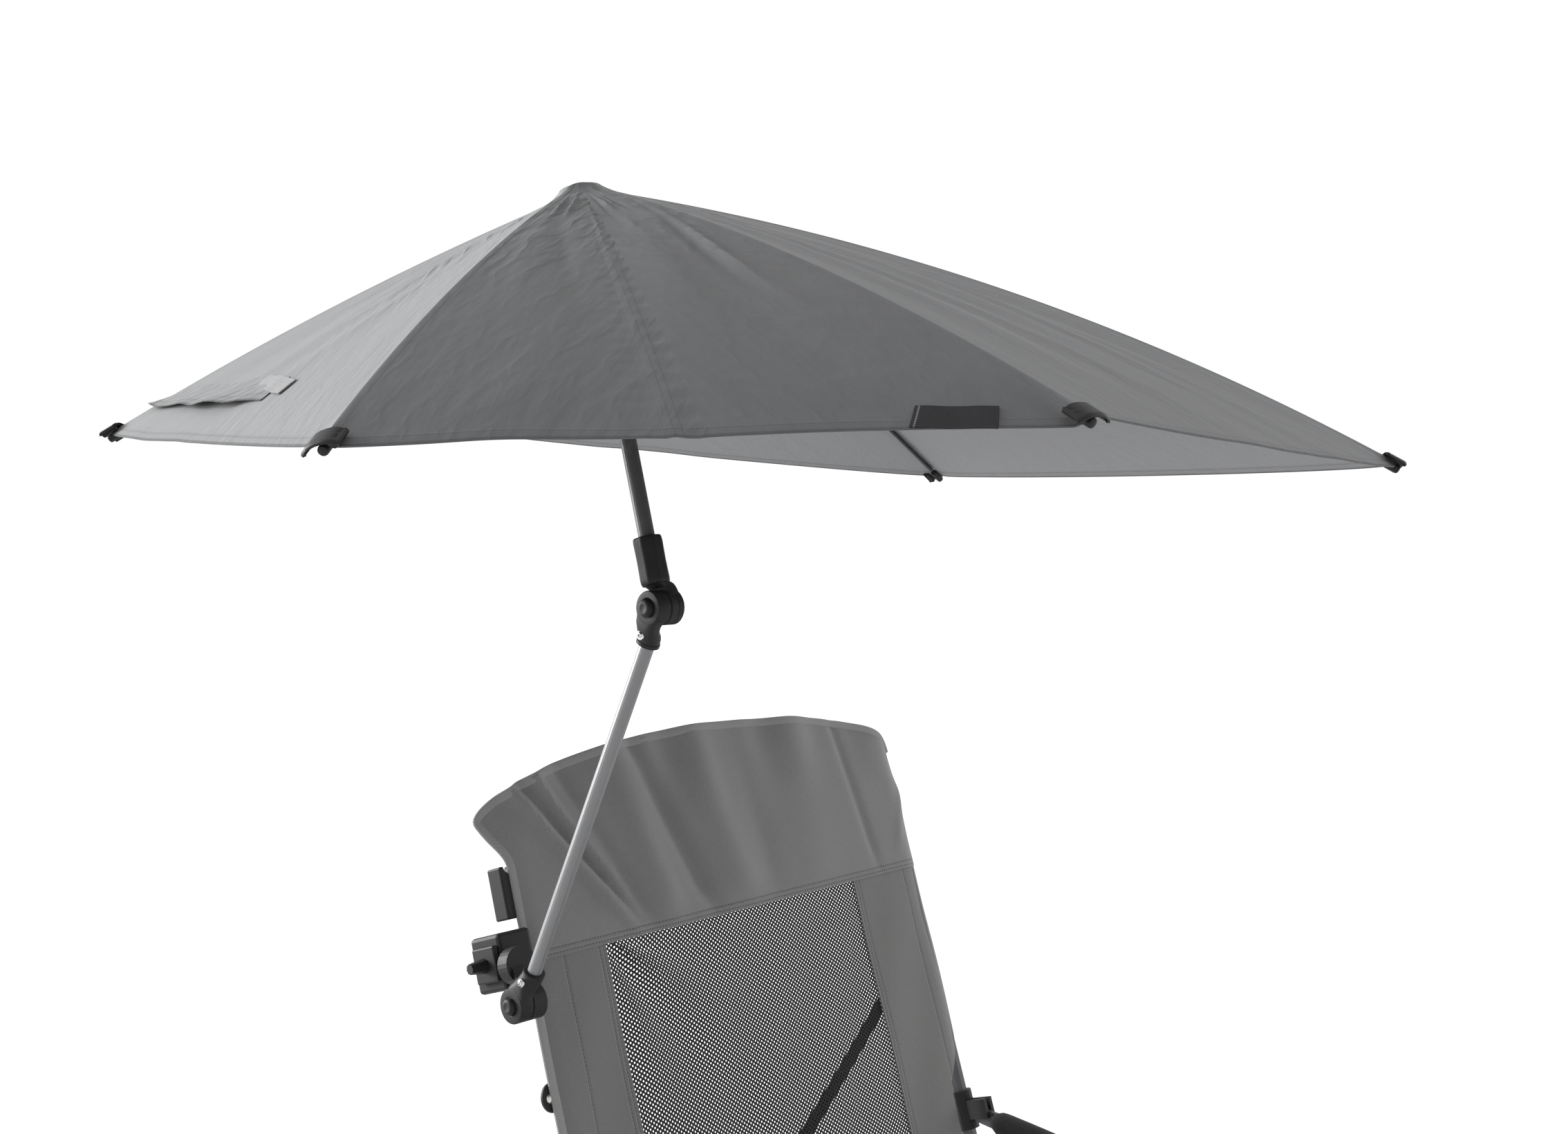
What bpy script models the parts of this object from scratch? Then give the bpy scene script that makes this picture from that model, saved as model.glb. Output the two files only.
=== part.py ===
# A folding camp chair with a small umbrella clamped to one of its back posts.
# Metres, +Z up. The sitter looks along -Y, and +X runs from the umbrella's side frame to the far one.
# The origin is on the sole of the near skid, under the rear post that carries the umbrella.

import math

import bmesh
import bpy
from mathutils import Matrix, Vector

# Fits and resolution
GAP = 0.0003            # between pieces that seat on each other
MERGE = 0.00001         # welding distance of curve caps
OVERRUN = 0.004         # how far a cutter runs past a wall
ROUND = 20              # sides of a turned piece
FINE = 28               # sides of a large turned piece

# Chair frame
SIDE_SPAN = 0.465       # between the post axes of the two side frames
BASE_DEPTH = 0.42       # rear post to front post
POST_R = 0.008
TOP_Z = 0.978           # upper end of the rear posts
BEND_Z = 0.60           # height where the rear posts lean back
BEND_REACH = 0.03       # half height of the bend
LEAN = math.radians(18)
SKID_W = 0.024
SKID_H = 0.026
SKID_OVERHANG = 0.035
SKID_ROUND = 0.004
LEG_BEND = 0.055        # front leg into armrest

# Crossing leg frames
BAR_R = 0.007
PIVOT_Z = 0.052         # axis of the lower hinge tubes
RAIL_Z = 0.40           # axis of the seat rails
INSET = 0.035           # hinge tubes and seat rails inside the post line
OUTER_MARGIN = 0.020    # outer leg frame inside the posts, front and rear
NEST = 0.025            # inner leg frame inside the outer one
FRAME_BEND = 0.022
LUG_W = 0.022
LUG_T = 0.0044
GLIDE_H = 0.030
GLIDE_T = 0.012         # inner half of a glide, past the rail's axis
GLIDE_HALF = 0.010      # a glide's reach past the post's axis
SPACER_R = 0.0065

# Armrests
ARM_Z = 0.639           # screw through the bracket's ears
ARM_AHEAD = 0.024       # that screw ahead of the post axis
ARM_PITCH = math.radians(6)
FOAM_R = 0.0118
FOAM_FROM = 0.017       # from the screw to the foam
FOAM_L = 0.300
BRACKET_WALL = 0.0035
TANG_T = 0.004          # flattened end between the ears
TANG_H = 0.0155
TANG_L = 0.0145
EAR_T = 0.004
EAR_L = 0.018
BRACKET_L = 0.036

# Fabric
CLOTH = 0.0025
HEAD_NEAR = 0.038       # headrest corner outside the near post axis
HEAD_FAR = 0.005
EDGE_NEAR = 0.020       # side strips outside the post axes
EDGE_FAR = 0.010
EAR_DOWN = 0.040        # where the corner has drawn back to the side strip
EDGE_LOW = 0.022        # side strips inside the post axes, past the arm brackets
DRAW_FROM = 0.285       # where the strips start to draw in, down the panel
DRAW_TO = 0.328
ARCH = 0.051            # rise of the top edge
PANEL_FOOT_Z = 0.44
BAND = 0.112            # headrest band, down the panel from the corners
WINDOW_NEAR = 0.058     # mesh window's edges, from the near post axis
WINDOW_FAR = 0.372
WINDOW_FOOT = 0.055     # solid strip under the mesh
NET_T = 0.0016
NET_ACROSS = 9
NET_DOWN = 10
NET_GAP_SHARE = 0.60
NET_SEAM = 0.0006
STRAP_W = 0.014
STRAP_T = 0.0018
STRAP_BACK = 0.014      # strap behind the post axis
STRAP_TOP_Z = 0.785
STRAP_LOW_Z = 0.535
STRAP_SAG = 0.010
SEAT_SAG = 0.028
SEAT_LIFT = 0.0012      # sling above the rails
SEAT_FRONT = 0.012
SEAT_REAR = 0.030

# Clamp on the near rear post, in the frame of the leaning post
CLAMP_Z = 0.872
BODY_IN = 0.024         # inner face of the clamp's block from the post axis
BODY_OUT = 0.056
BODY_FRONT = 0.024
BODY_REAR = 0.014
BODY_H = 0.044
BODY_ROUND = 0.003
JAW_H = 0.038
JAW_T = 0.0095
JAW_REACH = 0.012
PLATE_T = 0.005
PLATE_W = 0.0285
PLATE_H = 0.0275
PLATE_FRONT = 0.008     # plate's middle ahead of the post axis
KNOB_R = 0.0058
KNOB_TIP_R = 0.0042
KNOB_L = 0.014
SWIVEL_OUT = 0.052
SWIVEL_DROP = 0.0046
BOSS_R = 0.0085
BOSS_L = 0.0065
DISC_R = 0.0142
DISC_T = 0.012
HOLDER_Z = 0.921
HOLDER_IN = 0.0088      # behind the panel, clear of the post
HOLDER_OUT = 0.0306
HOLDER_FRONT = 0.0076
HOLDER_REAR = 0.010
HOLDER_H = 0.042
TROUGH_R = 0.0070
ANCHOR_Z = 0.770
ANCHOR_OUT = 0.030
ANCHOR_H = 0.030
ANCHOR_T = 0.003
ANCHOR_FRONT = 0.0060
RIVET_R = 0.0045
RIVET_H = 0.0025

# Folding arm of the umbrella
HINGE_X = -0.062        # middle of both hinges
LOWER_Y = 0.0308
LOWER_Z = 0.856
ARM_L = 0.3444          # lower hinge to upper hinge
ARM_LEAN = math.radians(26.57)
POLE_LEAN = math.radians(16.1)
HINGE_R = 0.0135
HINGE_UP_R = 0.0122
HALF_W = 0.0125
NECK_R = 0.0088
NECK_TIP_R = 0.0074
NECK_L = 0.030          # hinge axis to the mouth of the socket
NECK_CLEAR = 0.001
LINK_REACH_SHARE = 0.93
LINK_FULL_SHARE = 0.9
LINK_SHARE = 0.40       # half thickness of the swivel's link against the hinge's radius
STEM_R = 0.0056
POLE_R = 0.0059
BUTTON_R = 0.0064
BUTTON_FIT = 0.0004
BUTTON_OUT = 0.004
BUTTON_DEEP = 0.007
SCREW_R = 0.0032
SCREW_DEEP = 0.0024
SCREW_PROUD = 0.0009
SCREW_AT = 0.0215       # hinge axis to the socket's screw
GRIP_R = 0.0104
GRIP_L = 0.034
GRIP_ROUND = 0.003

# Head of the umbrella, measured down the pole from the canopy's top
POLE_L = 0.3165         # upper hinge to the canopy's top
CAP_R = 0.0098
CAP_T = 0.0022
CAP_RISE = 0.0005
RING_R = 0.0115
RING_H = 0.012
RING_DROP = 0.003
HUB_R = 0.0145          # circle of the rib and stretcher pivots
RUNNER_H = 0.034
RUNNER_OPEN = 0.052     # pivots of the runner below those of the ribs, open
RUNNER_SHUT = 0.205     # the same, closed
RIB_SHUT = math.radians(12)
RIB_R = 0.002
STRETCHER_R = 0.0014
TIP_W = 0.024
TIP_L = 0.018
TIP_H = 0.0075
TIP_ROUND = 0.0025
TIP_BACK = 0.014        # cap behind the rib's tip
CANOPY_T = 0.0012
CANOPY_LIFT = 0.0010    # cloth above the ribs
CANOPY_HOLE_R = 0.0068
HEM_SHARE = 0.045       # how far a hem hangs out past the line between its tips
SAG_SHARE = 0.020       # how far a gore hangs in between its ribs
GORE_STEPS = 6
RADIAL_STEPS = 8

# Each rib's tip, from the canopy's top: along X, along Y, drop, and the rib's upward bow as a share of its length
RIB_TIPS = {
    "a": (-0.220, 0.280, 0.181, 0.020),
    "b": (-0.326, -0.191, 0.202, 0.022),
    "c": (-0.058, -0.475, 0.188, 0.026),
    "d": (0.343, -0.463, 0.206, 0.045),
    "e": (0.483, 0.045, 0.207, 0.035),
    "f": (0.167, 0.350, 0.167, 0.020),
}

UP = Vector((0, 0, 1))
QUARTER = math.pi / 2


# Scene, collections and materials

for old in list(bpy.data.objects):
    bpy.data.objects.remove(old, do_unlink=True)

PARTS = bpy.data.collections.new("umbrella_chair")
CUTTERS = bpy.data.collections.new("cutters")
bpy.context.scene.collection.children.link(PARTS)
bpy.context.scene.collection.children.link(CUTTERS)


def material(name, colour, roughness, metallic=0.0):
    made = bpy.data.materials.new(name)
    made.use_nodes = True
    shader = made.node_tree.nodes["Principled BSDF"]
    shader.inputs["Base Color"].default_value = (*colour, 1)
    shader.inputs["Roughness"].default_value = roughness
    shader.inputs["Metallic"].default_value = metallic
    return made


FRAME_PAINT = material("frame_paint", (0.09, 0.09, 0.095), 0.42, 0.3)
BLACK_PLASTIC = material("black_plastic", (0.018, 0.018, 0.019), 0.5)
SILVER_PAINT = material("silver_paint", (0.36, 0.36, 0.36), 0.4, 0.3)
GREY_PAINT = material("grey_paint", (0.13, 0.13, 0.13), 0.4, 0.3)
SPRING_STEEL = material("spring_steel", (0.08, 0.08, 0.08), 0.35, 0.8)
ZINC = material("zinc", (0.6, 0.6, 0.6), 0.3, 1.0)
FOAM = material("foam", (0.012, 0.012, 0.012), 0.9)
CHAIR_CLOTH = material("chair_cloth", (0.13, 0.13, 0.13), 0.8)
NET_CLOTH = material("net_cloth", (0.01, 0.01, 0.01), 0.7)
STRAP_CLOTH = material("strap_cloth", (0.012, 0.012, 0.012), 0.8)
CANOPY_CLOTH = material("canopy_cloth", (0.15, 0.15, 0.15), 0.5)


# Making and placing

def empty(name, location, rotation=(0, 0, 0), parent=None):
    """A joint or a seat that pieces hang from, in its parent's frame."""
    made = bpy.data.objects.new(name, None)
    PARTS.objects.link(made)
    made.parent = parent
    made.location = location
    made.rotation_euler = rotation
    return made


def oriented_empty(name, origin, along, across, parent=None):
    """An empty whose X runs along one direction and whose Y is the given axis, square to it."""
    x = Vector(along).normalized()
    y = Vector(across).normalized()
    z = x.cross(y)
    turn = Matrix((x, y, z)).transposed()
    return empty(name, origin, turn.to_euler(), parent)


def add(name, mesh, finish, parent=None, location=(0, 0, 0), rotation=(0, 0, 0)):
    made = bpy.data.objects.new(name, mesh)
    PARTS.objects.link(made)
    if finish:
        mesh.materials.append(finish)
    made.parent = parent
    made.location = location
    made.rotation_euler = rotation
    return made


def new_mesh(name, build):
    bm = bmesh.new()
    build(bm)
    mesh = bpy.data.meshes.new(name)
    bm.to_mesh(mesh)
    bm.free()
    return mesh


def block(name, low, high, finish=None, parent=None, rounding=0.0):
    """A box between two corners, with its edges rounded if asked."""
    low = Vector(low)
    high = Vector(high)

    def build(bm):
        bmesh.ops.create_cube(bm, size=1)
        bmesh.ops.scale(bm, vec=high - low, verts=bm.verts)
        bmesh.ops.translate(bm, vec=(low + high) / 2, verts=bm.verts)

    made = add(name, new_mesh(name, build), finish, parent)
    if rounding:
        bevel(made, rounding)
    return made


def bevel(obj, width, segments=2):
    made = obj.modifiers.new("rounding", "BEVEL")
    made.width = width
    made.segments = segments
    made.limit_method = "ANGLE"
    return made


def turned(name, low, high, radius, tip_radius=None, axis="Z", centre=(0, 0, 0), sides=ROUND, finish=None,
           parent=None):
    """A cylinder or cone between two places on an axis through a centre."""
    tip = radius if tip_radius is None else tip_radius
    turn = {"Z": Matrix(), "X": Matrix.Rotation(QUARTER, 4, "Y"), "Y": Matrix.Rotation(-QUARTER, 4, "X")}[axis]

    def build(bm):
        bmesh.ops.create_cone(bm, cap_ends=True, segments=sides, radius1=radius, radius2=tip, depth=high - low)
        bmesh.ops.translate(bm, vec=UP * (low + high) / 2, verts=bm.verts)
        bmesh.ops.transform(bm, matrix=Matrix.Translation(centre) @ turn, verts=bm.verts)

    made = add(name, new_mesh(name, build), finish, parent)
    smooth(made)
    return made


def smooth(obj):
    obj.data.shade_smooth()
    obj.data.set_sharp_from_angle(angle=math.radians(40))


def tool(obj):
    """Makes an object a hidden cutter or joining shape."""
    PARTS.objects.unlink(obj)
    CUTTERS.objects.link(obj)
    obj.hide_render = True
    obj.display_type = "WIRE"
    return obj


def combine(obj, operation, *others):
    for other in others:
        step = obj.modifiers.new(operation.lower(), "BOOLEAN")
        step.operation = operation
        step.solver = "EXACT"
        step.object = tool(other)
    return obj


def tube(name, points, radius, finish, parent=None, resolution=2, cyclic=False):
    """A round bar along points, with closed ends."""
    curve = bpy.data.curves.new(name, "CURVE")
    curve.dimensions = "3D"
    curve.bevel_depth = radius
    curve.bevel_resolution = resolution
    curve.use_fill_caps = not cyclic
    line = curve.splines.new("POLY")
    line.points.add(len(points) - 1)
    for point, place in zip(line.points, points):
        point.co = (*place, 1)
    line.use_cyclic_u = cyclic
    curve.materials.append(finish)
    made = bpy.data.objects.new(name, curve)
    PARTS.objects.link(made)
    made.parent = parent
    return made


def solid_tube(name, points, radius, finish, parent=None, resolution=3):
    """The same bar as a mesh, ready to be joined or cut."""
    line = tube(f"{name}_line", points, radius, finish, parent, resolution)
    bpy.context.view_layer.update()
    mesh = bpy.data.meshes.new_from_object(line.evaluated_get(bpy.context.evaluated_depsgraph_get()))
    bpy.data.objects.remove(line)
    bm = bmesh.new()
    bm.from_mesh(mesh)
    bmesh.ops.remove_doubles(bm, verts=bm.verts, dist=MERGE)
    bm.to_mesh(mesh)
    bm.free()
    made = add(name, mesh, None, parent)
    smooth(made)
    return made


def corner(before, at, after, radius, steps=4):
    """Points of a rounded corner of a bent tube."""
    at = Vector(at)
    first = (Vector(before) - at).normalized()
    last = (Vector(after) - at).normalized()
    half = first.angle(last) / 2
    reach = radius / math.tan(half)
    centre = at + (first + last).normalized() * radius / math.sin(half)
    start = at + first * reach - centre
    end = at + last * reach - centre
    sweep = start.angle(end)
    axis = start.cross(end).normalized()
    return [centre + Matrix.Rotation(sweep * i / steps, 3, axis) @ start for i in range(steps + 1)]


def sheet_mesh(name, rows, wall, finish, parent=None, closed=False):
    """A sheet through a grid of points, row after row, with its wall's thickness on its upper side."""
    def build(bm):
        grid = [[bm.verts.new(p) for p in row] for row in rows]
        for one, two in zip(grid, grid[1:]):
            count = len(one) if closed else len(one) - 1
            for i in range(count):
                j = (i + 1) % len(one)
                bm.faces.new((one[i], one[j], two[j], two[i]))

    made = add(name, new_mesh(name, build), finish, parent)
    solid = made.modifiers.new("wall", "SOLIDIFY")
    solid.thickness = wall
    solid.offset = -1 if closed else 1
    solid.use_even_offset = True
    smooth(made)
    return made


# Rear post line

def post_y(z):
    """The leaning post's axis: upright, a short parabola at the bend, then a straight lean."""
    u = z - BEND_Z
    if u <= -BEND_REACH:
        ramp = 0.0
    elif u >= BEND_REACH:
        ramp = u
    else:
        ramp = (u + BEND_REACH) ** 2 / (4 * BEND_REACH)
    return ramp * math.tan(LEAN)


def post_seat(name, z, x=0.0):
    """An empty on a rear post's leaning stretch, its Z up the post."""
    return empty(name, (x, post_y(z), z), (-LEAN, 0, 0))


# Side frames: skid, posts, arm bracket and armrest

def skid(name, inward, frame_margin, parent):
    """Moulded skid under one side, with a lug beside each end of the leg frame's hinge tube."""
    made = block(
        name,
        (-SKID_W / 2, -BASE_DEPTH - SKID_OVERHANG, 0),
        (SKID_W / 2, SKID_OVERHANG, SKID_H),
        BLACK_PLASTIC,
        parent,
        SKID_ROUND,
    )
    for end, sign in (("front", 1), ("rear", -1)):
        post = -BASE_DEPTH if sign > 0 else 0.0
        far = post + sign * (frame_margin - BAR_R - GAP)
        near = far - sign * LUG_T
        low_x, high_x = sorted((0, inward * (INSET + LUG_W / 2)))
        low_y, high_y = sorted((near, far))
        lug = block(
            f"{name}_{end}_lug",
            (low_x, low_y, SKID_H / 2),
            (high_x, high_y, PIVOT_Z + LUG_W / 2),
            parent=parent,
        )
        combine(made, "UNION", lug)
    return made


def side_frame(side, inward, frame_margin, parent=None):
    """Skid and rear post. The far side hangs from its folding joint."""
    rear_path = [(0, post_y(z), z) for z in (
        SKID_H + GAP, BEND_Z - BEND_REACH, BEND_Z - BEND_REACH / 2, BEND_Z, BEND_Z + BEND_REACH / 2,
        BEND_Z + BEND_REACH, TOP_Z)]
    tube(f"{side}_rear_post", rear_path, POST_R, FRAME_PAINT, parent, 3)
    skid(f"{side}_skid", inward, frame_margin, parent)


def arm_bracket(side, parent=None):
    """Clip sleeve on the rear post with two ears that hold the armrest's flattened end."""
    seat = empty(f"{side}_bracket_seat", (0, post_y(ARM_Z), ARM_Z), (-LEAN, 0, 0), parent)
    outer = POST_R + GAP + BRACKET_WALL
    made = turned(f"{side}_arm_bracket", -BRACKET_L / 2, BRACKET_L / 2, outer, finish=BLACK_PLASTIC, parent=seat)
    half = TANG_T / 2 + GAP
    for sign, name in ((1, "in"), (-1, "out")):
        low_x, high_x = sorted((sign * half, sign * (half + EAR_T)))
        ear = block(
            f"{side}_ear_{name}",
            (low_x, -ARM_AHEAD - EAR_L / 2, -EAR_L / 2),
            (high_x, -POST_R - BRACKET_WALL / 2, EAR_L / 2),
            parent=seat,
        )
        combine(made, "UNION", ear)
    bore = turned(f"{side}_bracket_bore", -BRACKET_L, BRACKET_L, POST_R + GAP, parent=seat)
    return combine(made, "DIFFERENCE", bore)


def front_leg(side, parent=None):
    """Front leg and armrest in one bent tube, flattened where the bracket's ears hold it, with a foam sleeve."""
    y = post_y(ARM_Z) - ARM_AHEAD
    seat = empty(f"{side}_arm_seat", (0, y, ARM_Z), (ARM_PITCH, 0, 0), parent)
    back = Vector((0, y - TANG_L * math.cos(ARM_PITCH), ARM_Z - TANG_L * math.sin(ARM_PITCH)))
    foot = Vector((0, -BASE_DEPTH, SKID_H + GAP))
    knee = Vector((0, -BASE_DEPTH, ARM_Z - (BASE_DEPTH + y) * math.tan(ARM_PITCH)))
    path = [foot] + corner(foot, knee, back, LEG_BEND, 6) + [back]
    leg = solid_tube(f"{side}_front_leg", path, POST_R, FRAME_PAINT, parent)
    tang = block(
        f"{side}_tang",
        (-TANG_T / 2, -TANG_L - EAR_L / 2, -TANG_H / 2),
        (TANG_T / 2, TANG_H / 2, TANG_H / 2),
        parent=seat,
    )
    combine(leg, "UNION", tang)
    foam = turned(
        f"{side}_arm_foam", -FOAM_FROM - FOAM_L, -FOAM_FROM, FOAM_R, axis="Y", finish=FOAM, parent=seat, sides=FINE
    )
    bevel(foam, FOAM_R / 4)
    bore = turned(f"{side}_foam_bore", -FOAM_L * 2, 0, POST_R + GAP, axis="Y", parent=seat)
    combine(foam, "DIFFERENCE", bore)


# Crossing leg frames and the glides that guide their seat rails

RISE = RAIL_Z - PIVOT_Z
REACH = SIDE_SPAN - 2 * INSET
NEAR_PIVOT = Vector((INSET, 0, PIVOT_Z))
FAR_PIVOT = Vector((SIDE_SPAN - INSET, 0, PIVOT_Z))
CROSSING = (NEAR_PIVOT + FAR_PIVOT) / 2 + UP * RISE / 2


def leg_frame(name, start, end, margin, parent):
    """A closed loop of tube: hinge tube below, two bars, seat rail above. Points are relative to its parent."""
    front = -BASE_DEPTH + margin
    rear = -margin
    corners = [
        Vector((start.x, front, start.z)),
        Vector((end.x, front, end.z)),
        Vector((end.x, rear, end.z)),
        Vector((start.x, rear, start.z)),
    ]
    points = []
    for i, at in enumerate(corners):
        points += corner(corners[i - 1], at, corners[(i + 1) % 4], FRAME_BEND)
    return tube(name, points, BAR_R, FRAME_PAINT, parent, 2, cyclic=True)


def cross_spacer(name, outer_y, inner_y, parent):
    """Spacer on the cross bolt, between the bars of the two leg frames."""
    low, high = sorted((outer_y, inner_y))
    return turned(name, low + BAR_R + GAP, high - BAR_R - GAP, SPACER_R, axis="Y", finish=ZINC, parent=parent)


def rail_glide(name, post_line, sign, margin, inward, parent):
    """Block at a seat rail's end that slides up the post's flat side. Its parent is on the rail's axis."""
    low_x, high_x = sorted((-inward * (INSET - POST_R - GAP), inward * GLIDE_T / 2))
    low_y, high_y = sorted((post_line - sign * GLIDE_HALF, post_line + sign * (margin - BAR_R - GAP)))
    made = block(
        name, (low_x, low_y, -GLIDE_H / 2), (high_x, high_y, GLIDE_H / 2), BLACK_PLASTIC, parent, GLIDE_T / 6
    )
    return made


INNER_MARGIN = OUTER_MARGIN + NEST
outer_hinge = empty("outer_frame_hinge", NEAR_PIVOT)
inner_hinge = empty("inner_frame_hinge", CROSSING - NEAR_PIVOT, parent=outer_hinge)
far_hinge = empty("far_side_hinge", FAR_PIVOT - CROSSING, parent=inner_hinge)
near_rail = empty("near_rail_axis", (-REACH / 2, 0, RISE / 2), parent=inner_hinge)
far_rail = empty("far_rail_axis", (REACH, 0, RISE), parent=outer_hinge)
far_side = empty("far_side_origin", -FAR_PIVOT + Vector((SIDE_SPAN, 0, 0)), parent=far_hinge)

leg_frame("outer_leg_frame", Vector((0, 0, 0)), Vector((REACH, 0, RISE)), OUTER_MARGIN, outer_hinge)
half_span = Vector((REACH / 2, 0, -RISE / 2))
leg_frame("inner_leg_frame", half_span, -half_span, INNER_MARGIN, inner_hinge)
cross_spacer("front_cross_spacer", -BASE_DEPTH + OUTER_MARGIN, -BASE_DEPTH + INNER_MARGIN, inner_hinge)
cross_spacer("rear_cross_spacer", -OUTER_MARGIN, -INNER_MARGIN, inner_hinge)

side_frame("near", 1, OUTER_MARGIN)
side_frame("far", -1, INNER_MARGIN, far_side)
for end, y, sign in (("front", -BASE_DEPTH, 1), ("rear", 0.0, -1)):
    rail_glide(f"near_{end}_glide", y, sign, INNER_MARGIN, 1, near_rail)
    rail_glide(f"far_{end}_glide", y, sign, OUTER_MARGIN, -1, far_rail)
for side, parent in (("near", None), ("far", far_side)):
    arm_bracket(side, parent)
    front_leg(side, parent)


# Back panel, mesh window, strap and seat

PANEL_FRONT = POST_R + GAP


def panel_point(x, down, ahead=PANEL_FRONT):
    """A point of the panel at a distance down the post line from its top corners, ahead of the post axis."""
    lean_length = (TOP_Z - BEND_Z) / math.cos(LEAN)
    z = TOP_Z - down * math.cos(LEAN) if down < lean_length else BEND_Z - (down - lean_length)
    slope = (post_y(z + BEND_REACH) - post_y(z - BEND_REACH)) / (2 * BEND_REACH)
    normal = Vector((0, -1, slope)).normalized()
    return Vector((x, post_y(z), z)) + normal * ahead


PANEL_LENGTH = (TOP_Z - BEND_Z) / math.cos(LEAN) + BEND_Z - PANEL_FOOT_Z
WINDOW_LOW = PANEL_LENGTH - WINDOW_FOOT
COLUMNS = [-1, -0.8, -0.6, -0.3, 0, 0.3, 0.6, 0.8, 1]
WINDOW_SHARE = 0.6      # columns this far from the middle lie on the window's edges
TOP_SHARES = [0, 0.35, 0.7, 1]
LOW_STEPS = 8


def panel_x(share, down):
    """Place of a column across the panel, from -1 at the near edge to 1 at the far one."""
    ear = max(0, 1 - down / EAR_DOWN)
    drawn = min(max((down - DRAW_FROM) / (DRAW_TO - DRAW_FROM), 0), 1)
    near = -EDGE_NEAR - (HEAD_NEAR - EDGE_NEAR) * ear + (EDGE_NEAR + EDGE_LOW) * drawn
    far = SIDE_SPAN + EDGE_FAR + (HEAD_FAR - EDGE_FAR) * ear - (EDGE_FAR + EDGE_LOW) * drawn
    if share < -WINDOW_SHARE:
        return near + (WINDOW_NEAR - near) * (share + 1) / (1 - WINDOW_SHARE)
    if share > WINDOW_SHARE:
        return far + (WINDOW_FAR - far) * (1 - share) / (1 - WINDOW_SHARE)
    return WINDOW_NEAR + (WINDOW_FAR - WINDOW_NEAR) * (share / WINDOW_SHARE + 1) / 2


def back_panel():
    """Sewn back: arched top edge, headrest band and strips round the mesh window."""
    downs = [BAND * share for share in TOP_SHARES]
    downs += [BAND + (WINDOW_LOW - BAND) * (i + 1) / LOW_STEPS for i in range(LOW_STEPS)]
    downs += [PANEL_LENGTH]

    def build(bm):
        grid = []
        for down in downs:
            row = []
            for share in COLUMNS:
                lift = ARCH * (1 - share ** 2) ** 0.6 * max(0, 1 - down / BAND)
                row.append(bm.verts.new(panel_point(panel_x(share, down), down - lift)))
            grid.append(row)
        for j in range(len(downs) - 1):
            for i in range(len(COLUMNS) - 1):
                in_window = len(TOP_SHARES) - 1 <= j < len(downs) - 2 and 2 <= i < len(COLUMNS) - 3
                if not in_window:
                    bm.faces.new((grid[j][i], grid[j + 1][i], grid[j + 1][i + 1], grid[j][i + 1]))

    made = add("back_panel", new_mesh("back_panel", build), CHAIR_CLOTH)
    wall = made.modifiers.new("wall", "SOLIDIFY")
    wall.thickness = CLOTH
    wall.offset = 1
    return made


def back_mesh():
    """Open net in the window: a lattice with square gaps, its border short of the panel's edge."""
    near = WINDOW_NEAR + NET_SEAM
    far = WINDOW_FAR - NET_SEAM
    top = BAND + NET_SEAM
    low = WINDOW_LOW - NET_SEAM
    ahead = PANEL_FRONT + (CLOTH - NET_T) / 2
    bars = (1 - NET_GAP_SHARE) / 2

    def lines(start, end, count):
        pitch = (end - start) / count
        places = [start]
        for i in range(count):
            places += [start + pitch * (i + bars), start + pitch * (i + 1 - bars)]
        return places + [end]

    xs = lines(near, far, NET_ACROSS)
    downs = lines(top, low, NET_DOWN)

    def build(bm):
        grid = [[bm.verts.new(panel_point(x, d, ahead)) for x in xs] for d in downs]
        for j in range(len(downs) - 1):
            for i in range(len(xs) - 1):
                if not (i % 2 == 1 and j % 2 == 1):
                    bm.faces.new((grid[j][i], grid[j + 1][i], grid[j + 1][i + 1], grid[j][i + 1]))

    made = add("back_mesh", new_mesh("back_mesh", build), NET_CLOTH)
    wall = made.modifiers.new("wall", "SOLIDIFY")
    wall.thickness = NET_T
    wall.offset = 1
    return made


def carry_strap():
    """Webbing behind the mesh, from the far post down to the near one, with a slight sag."""
    steps = 12
    start = Vector((SIDE_SPAN - POST_R, 0, STRAP_TOP_Z))
    end = Vector((POST_R, 0, STRAP_LOW_Z))
    along = (end - start).normalized()
    side = Vector((along.z, 0, -along.x)) * STRAP_W / 2
    rows = []
    for i in range(steps + 1):
        share = i / steps
        place = start.lerp(end, share)
        place.z -= 4 * share * (1 - share) * STRAP_SAG
        place.y = post_y(place.z) + STRAP_BACK
        rows.append((place - side, place + side))
    return sheet_mesh("carry_strap", rows, STRAP_T, STRAP_CLOTH)


def seat_sling():
    """Sling between the two seat rails, lying on their tops and sagging between them."""
    across = 12
    along = 5
    front = -BASE_DEPTH + INNER_MARGIN + FRAME_BEND - SEAT_FRONT
    rear = -INNER_MARGIN - SEAT_REAR
    rows = []
    for j in range(along + 1):
        y = front + (rear - front) * j / along
        row = []
        for i in range(across + 1):
            share = i / across
            x = INSET + REACH * share
            z = RAIL_Z + BAR_R + SEAT_LIFT - SEAT_SAG * 4 * share * (1 - share)
            row.append((x, y, z))
        rows.append(row)
    return sheet_mesh("seat_sling", rows, CLOTH, CHAIR_CLOTH)


back_panel()
back_mesh()
carry_strap()
seat_sling()


# Clamp, holder and anchor plate on the near rear post

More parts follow.
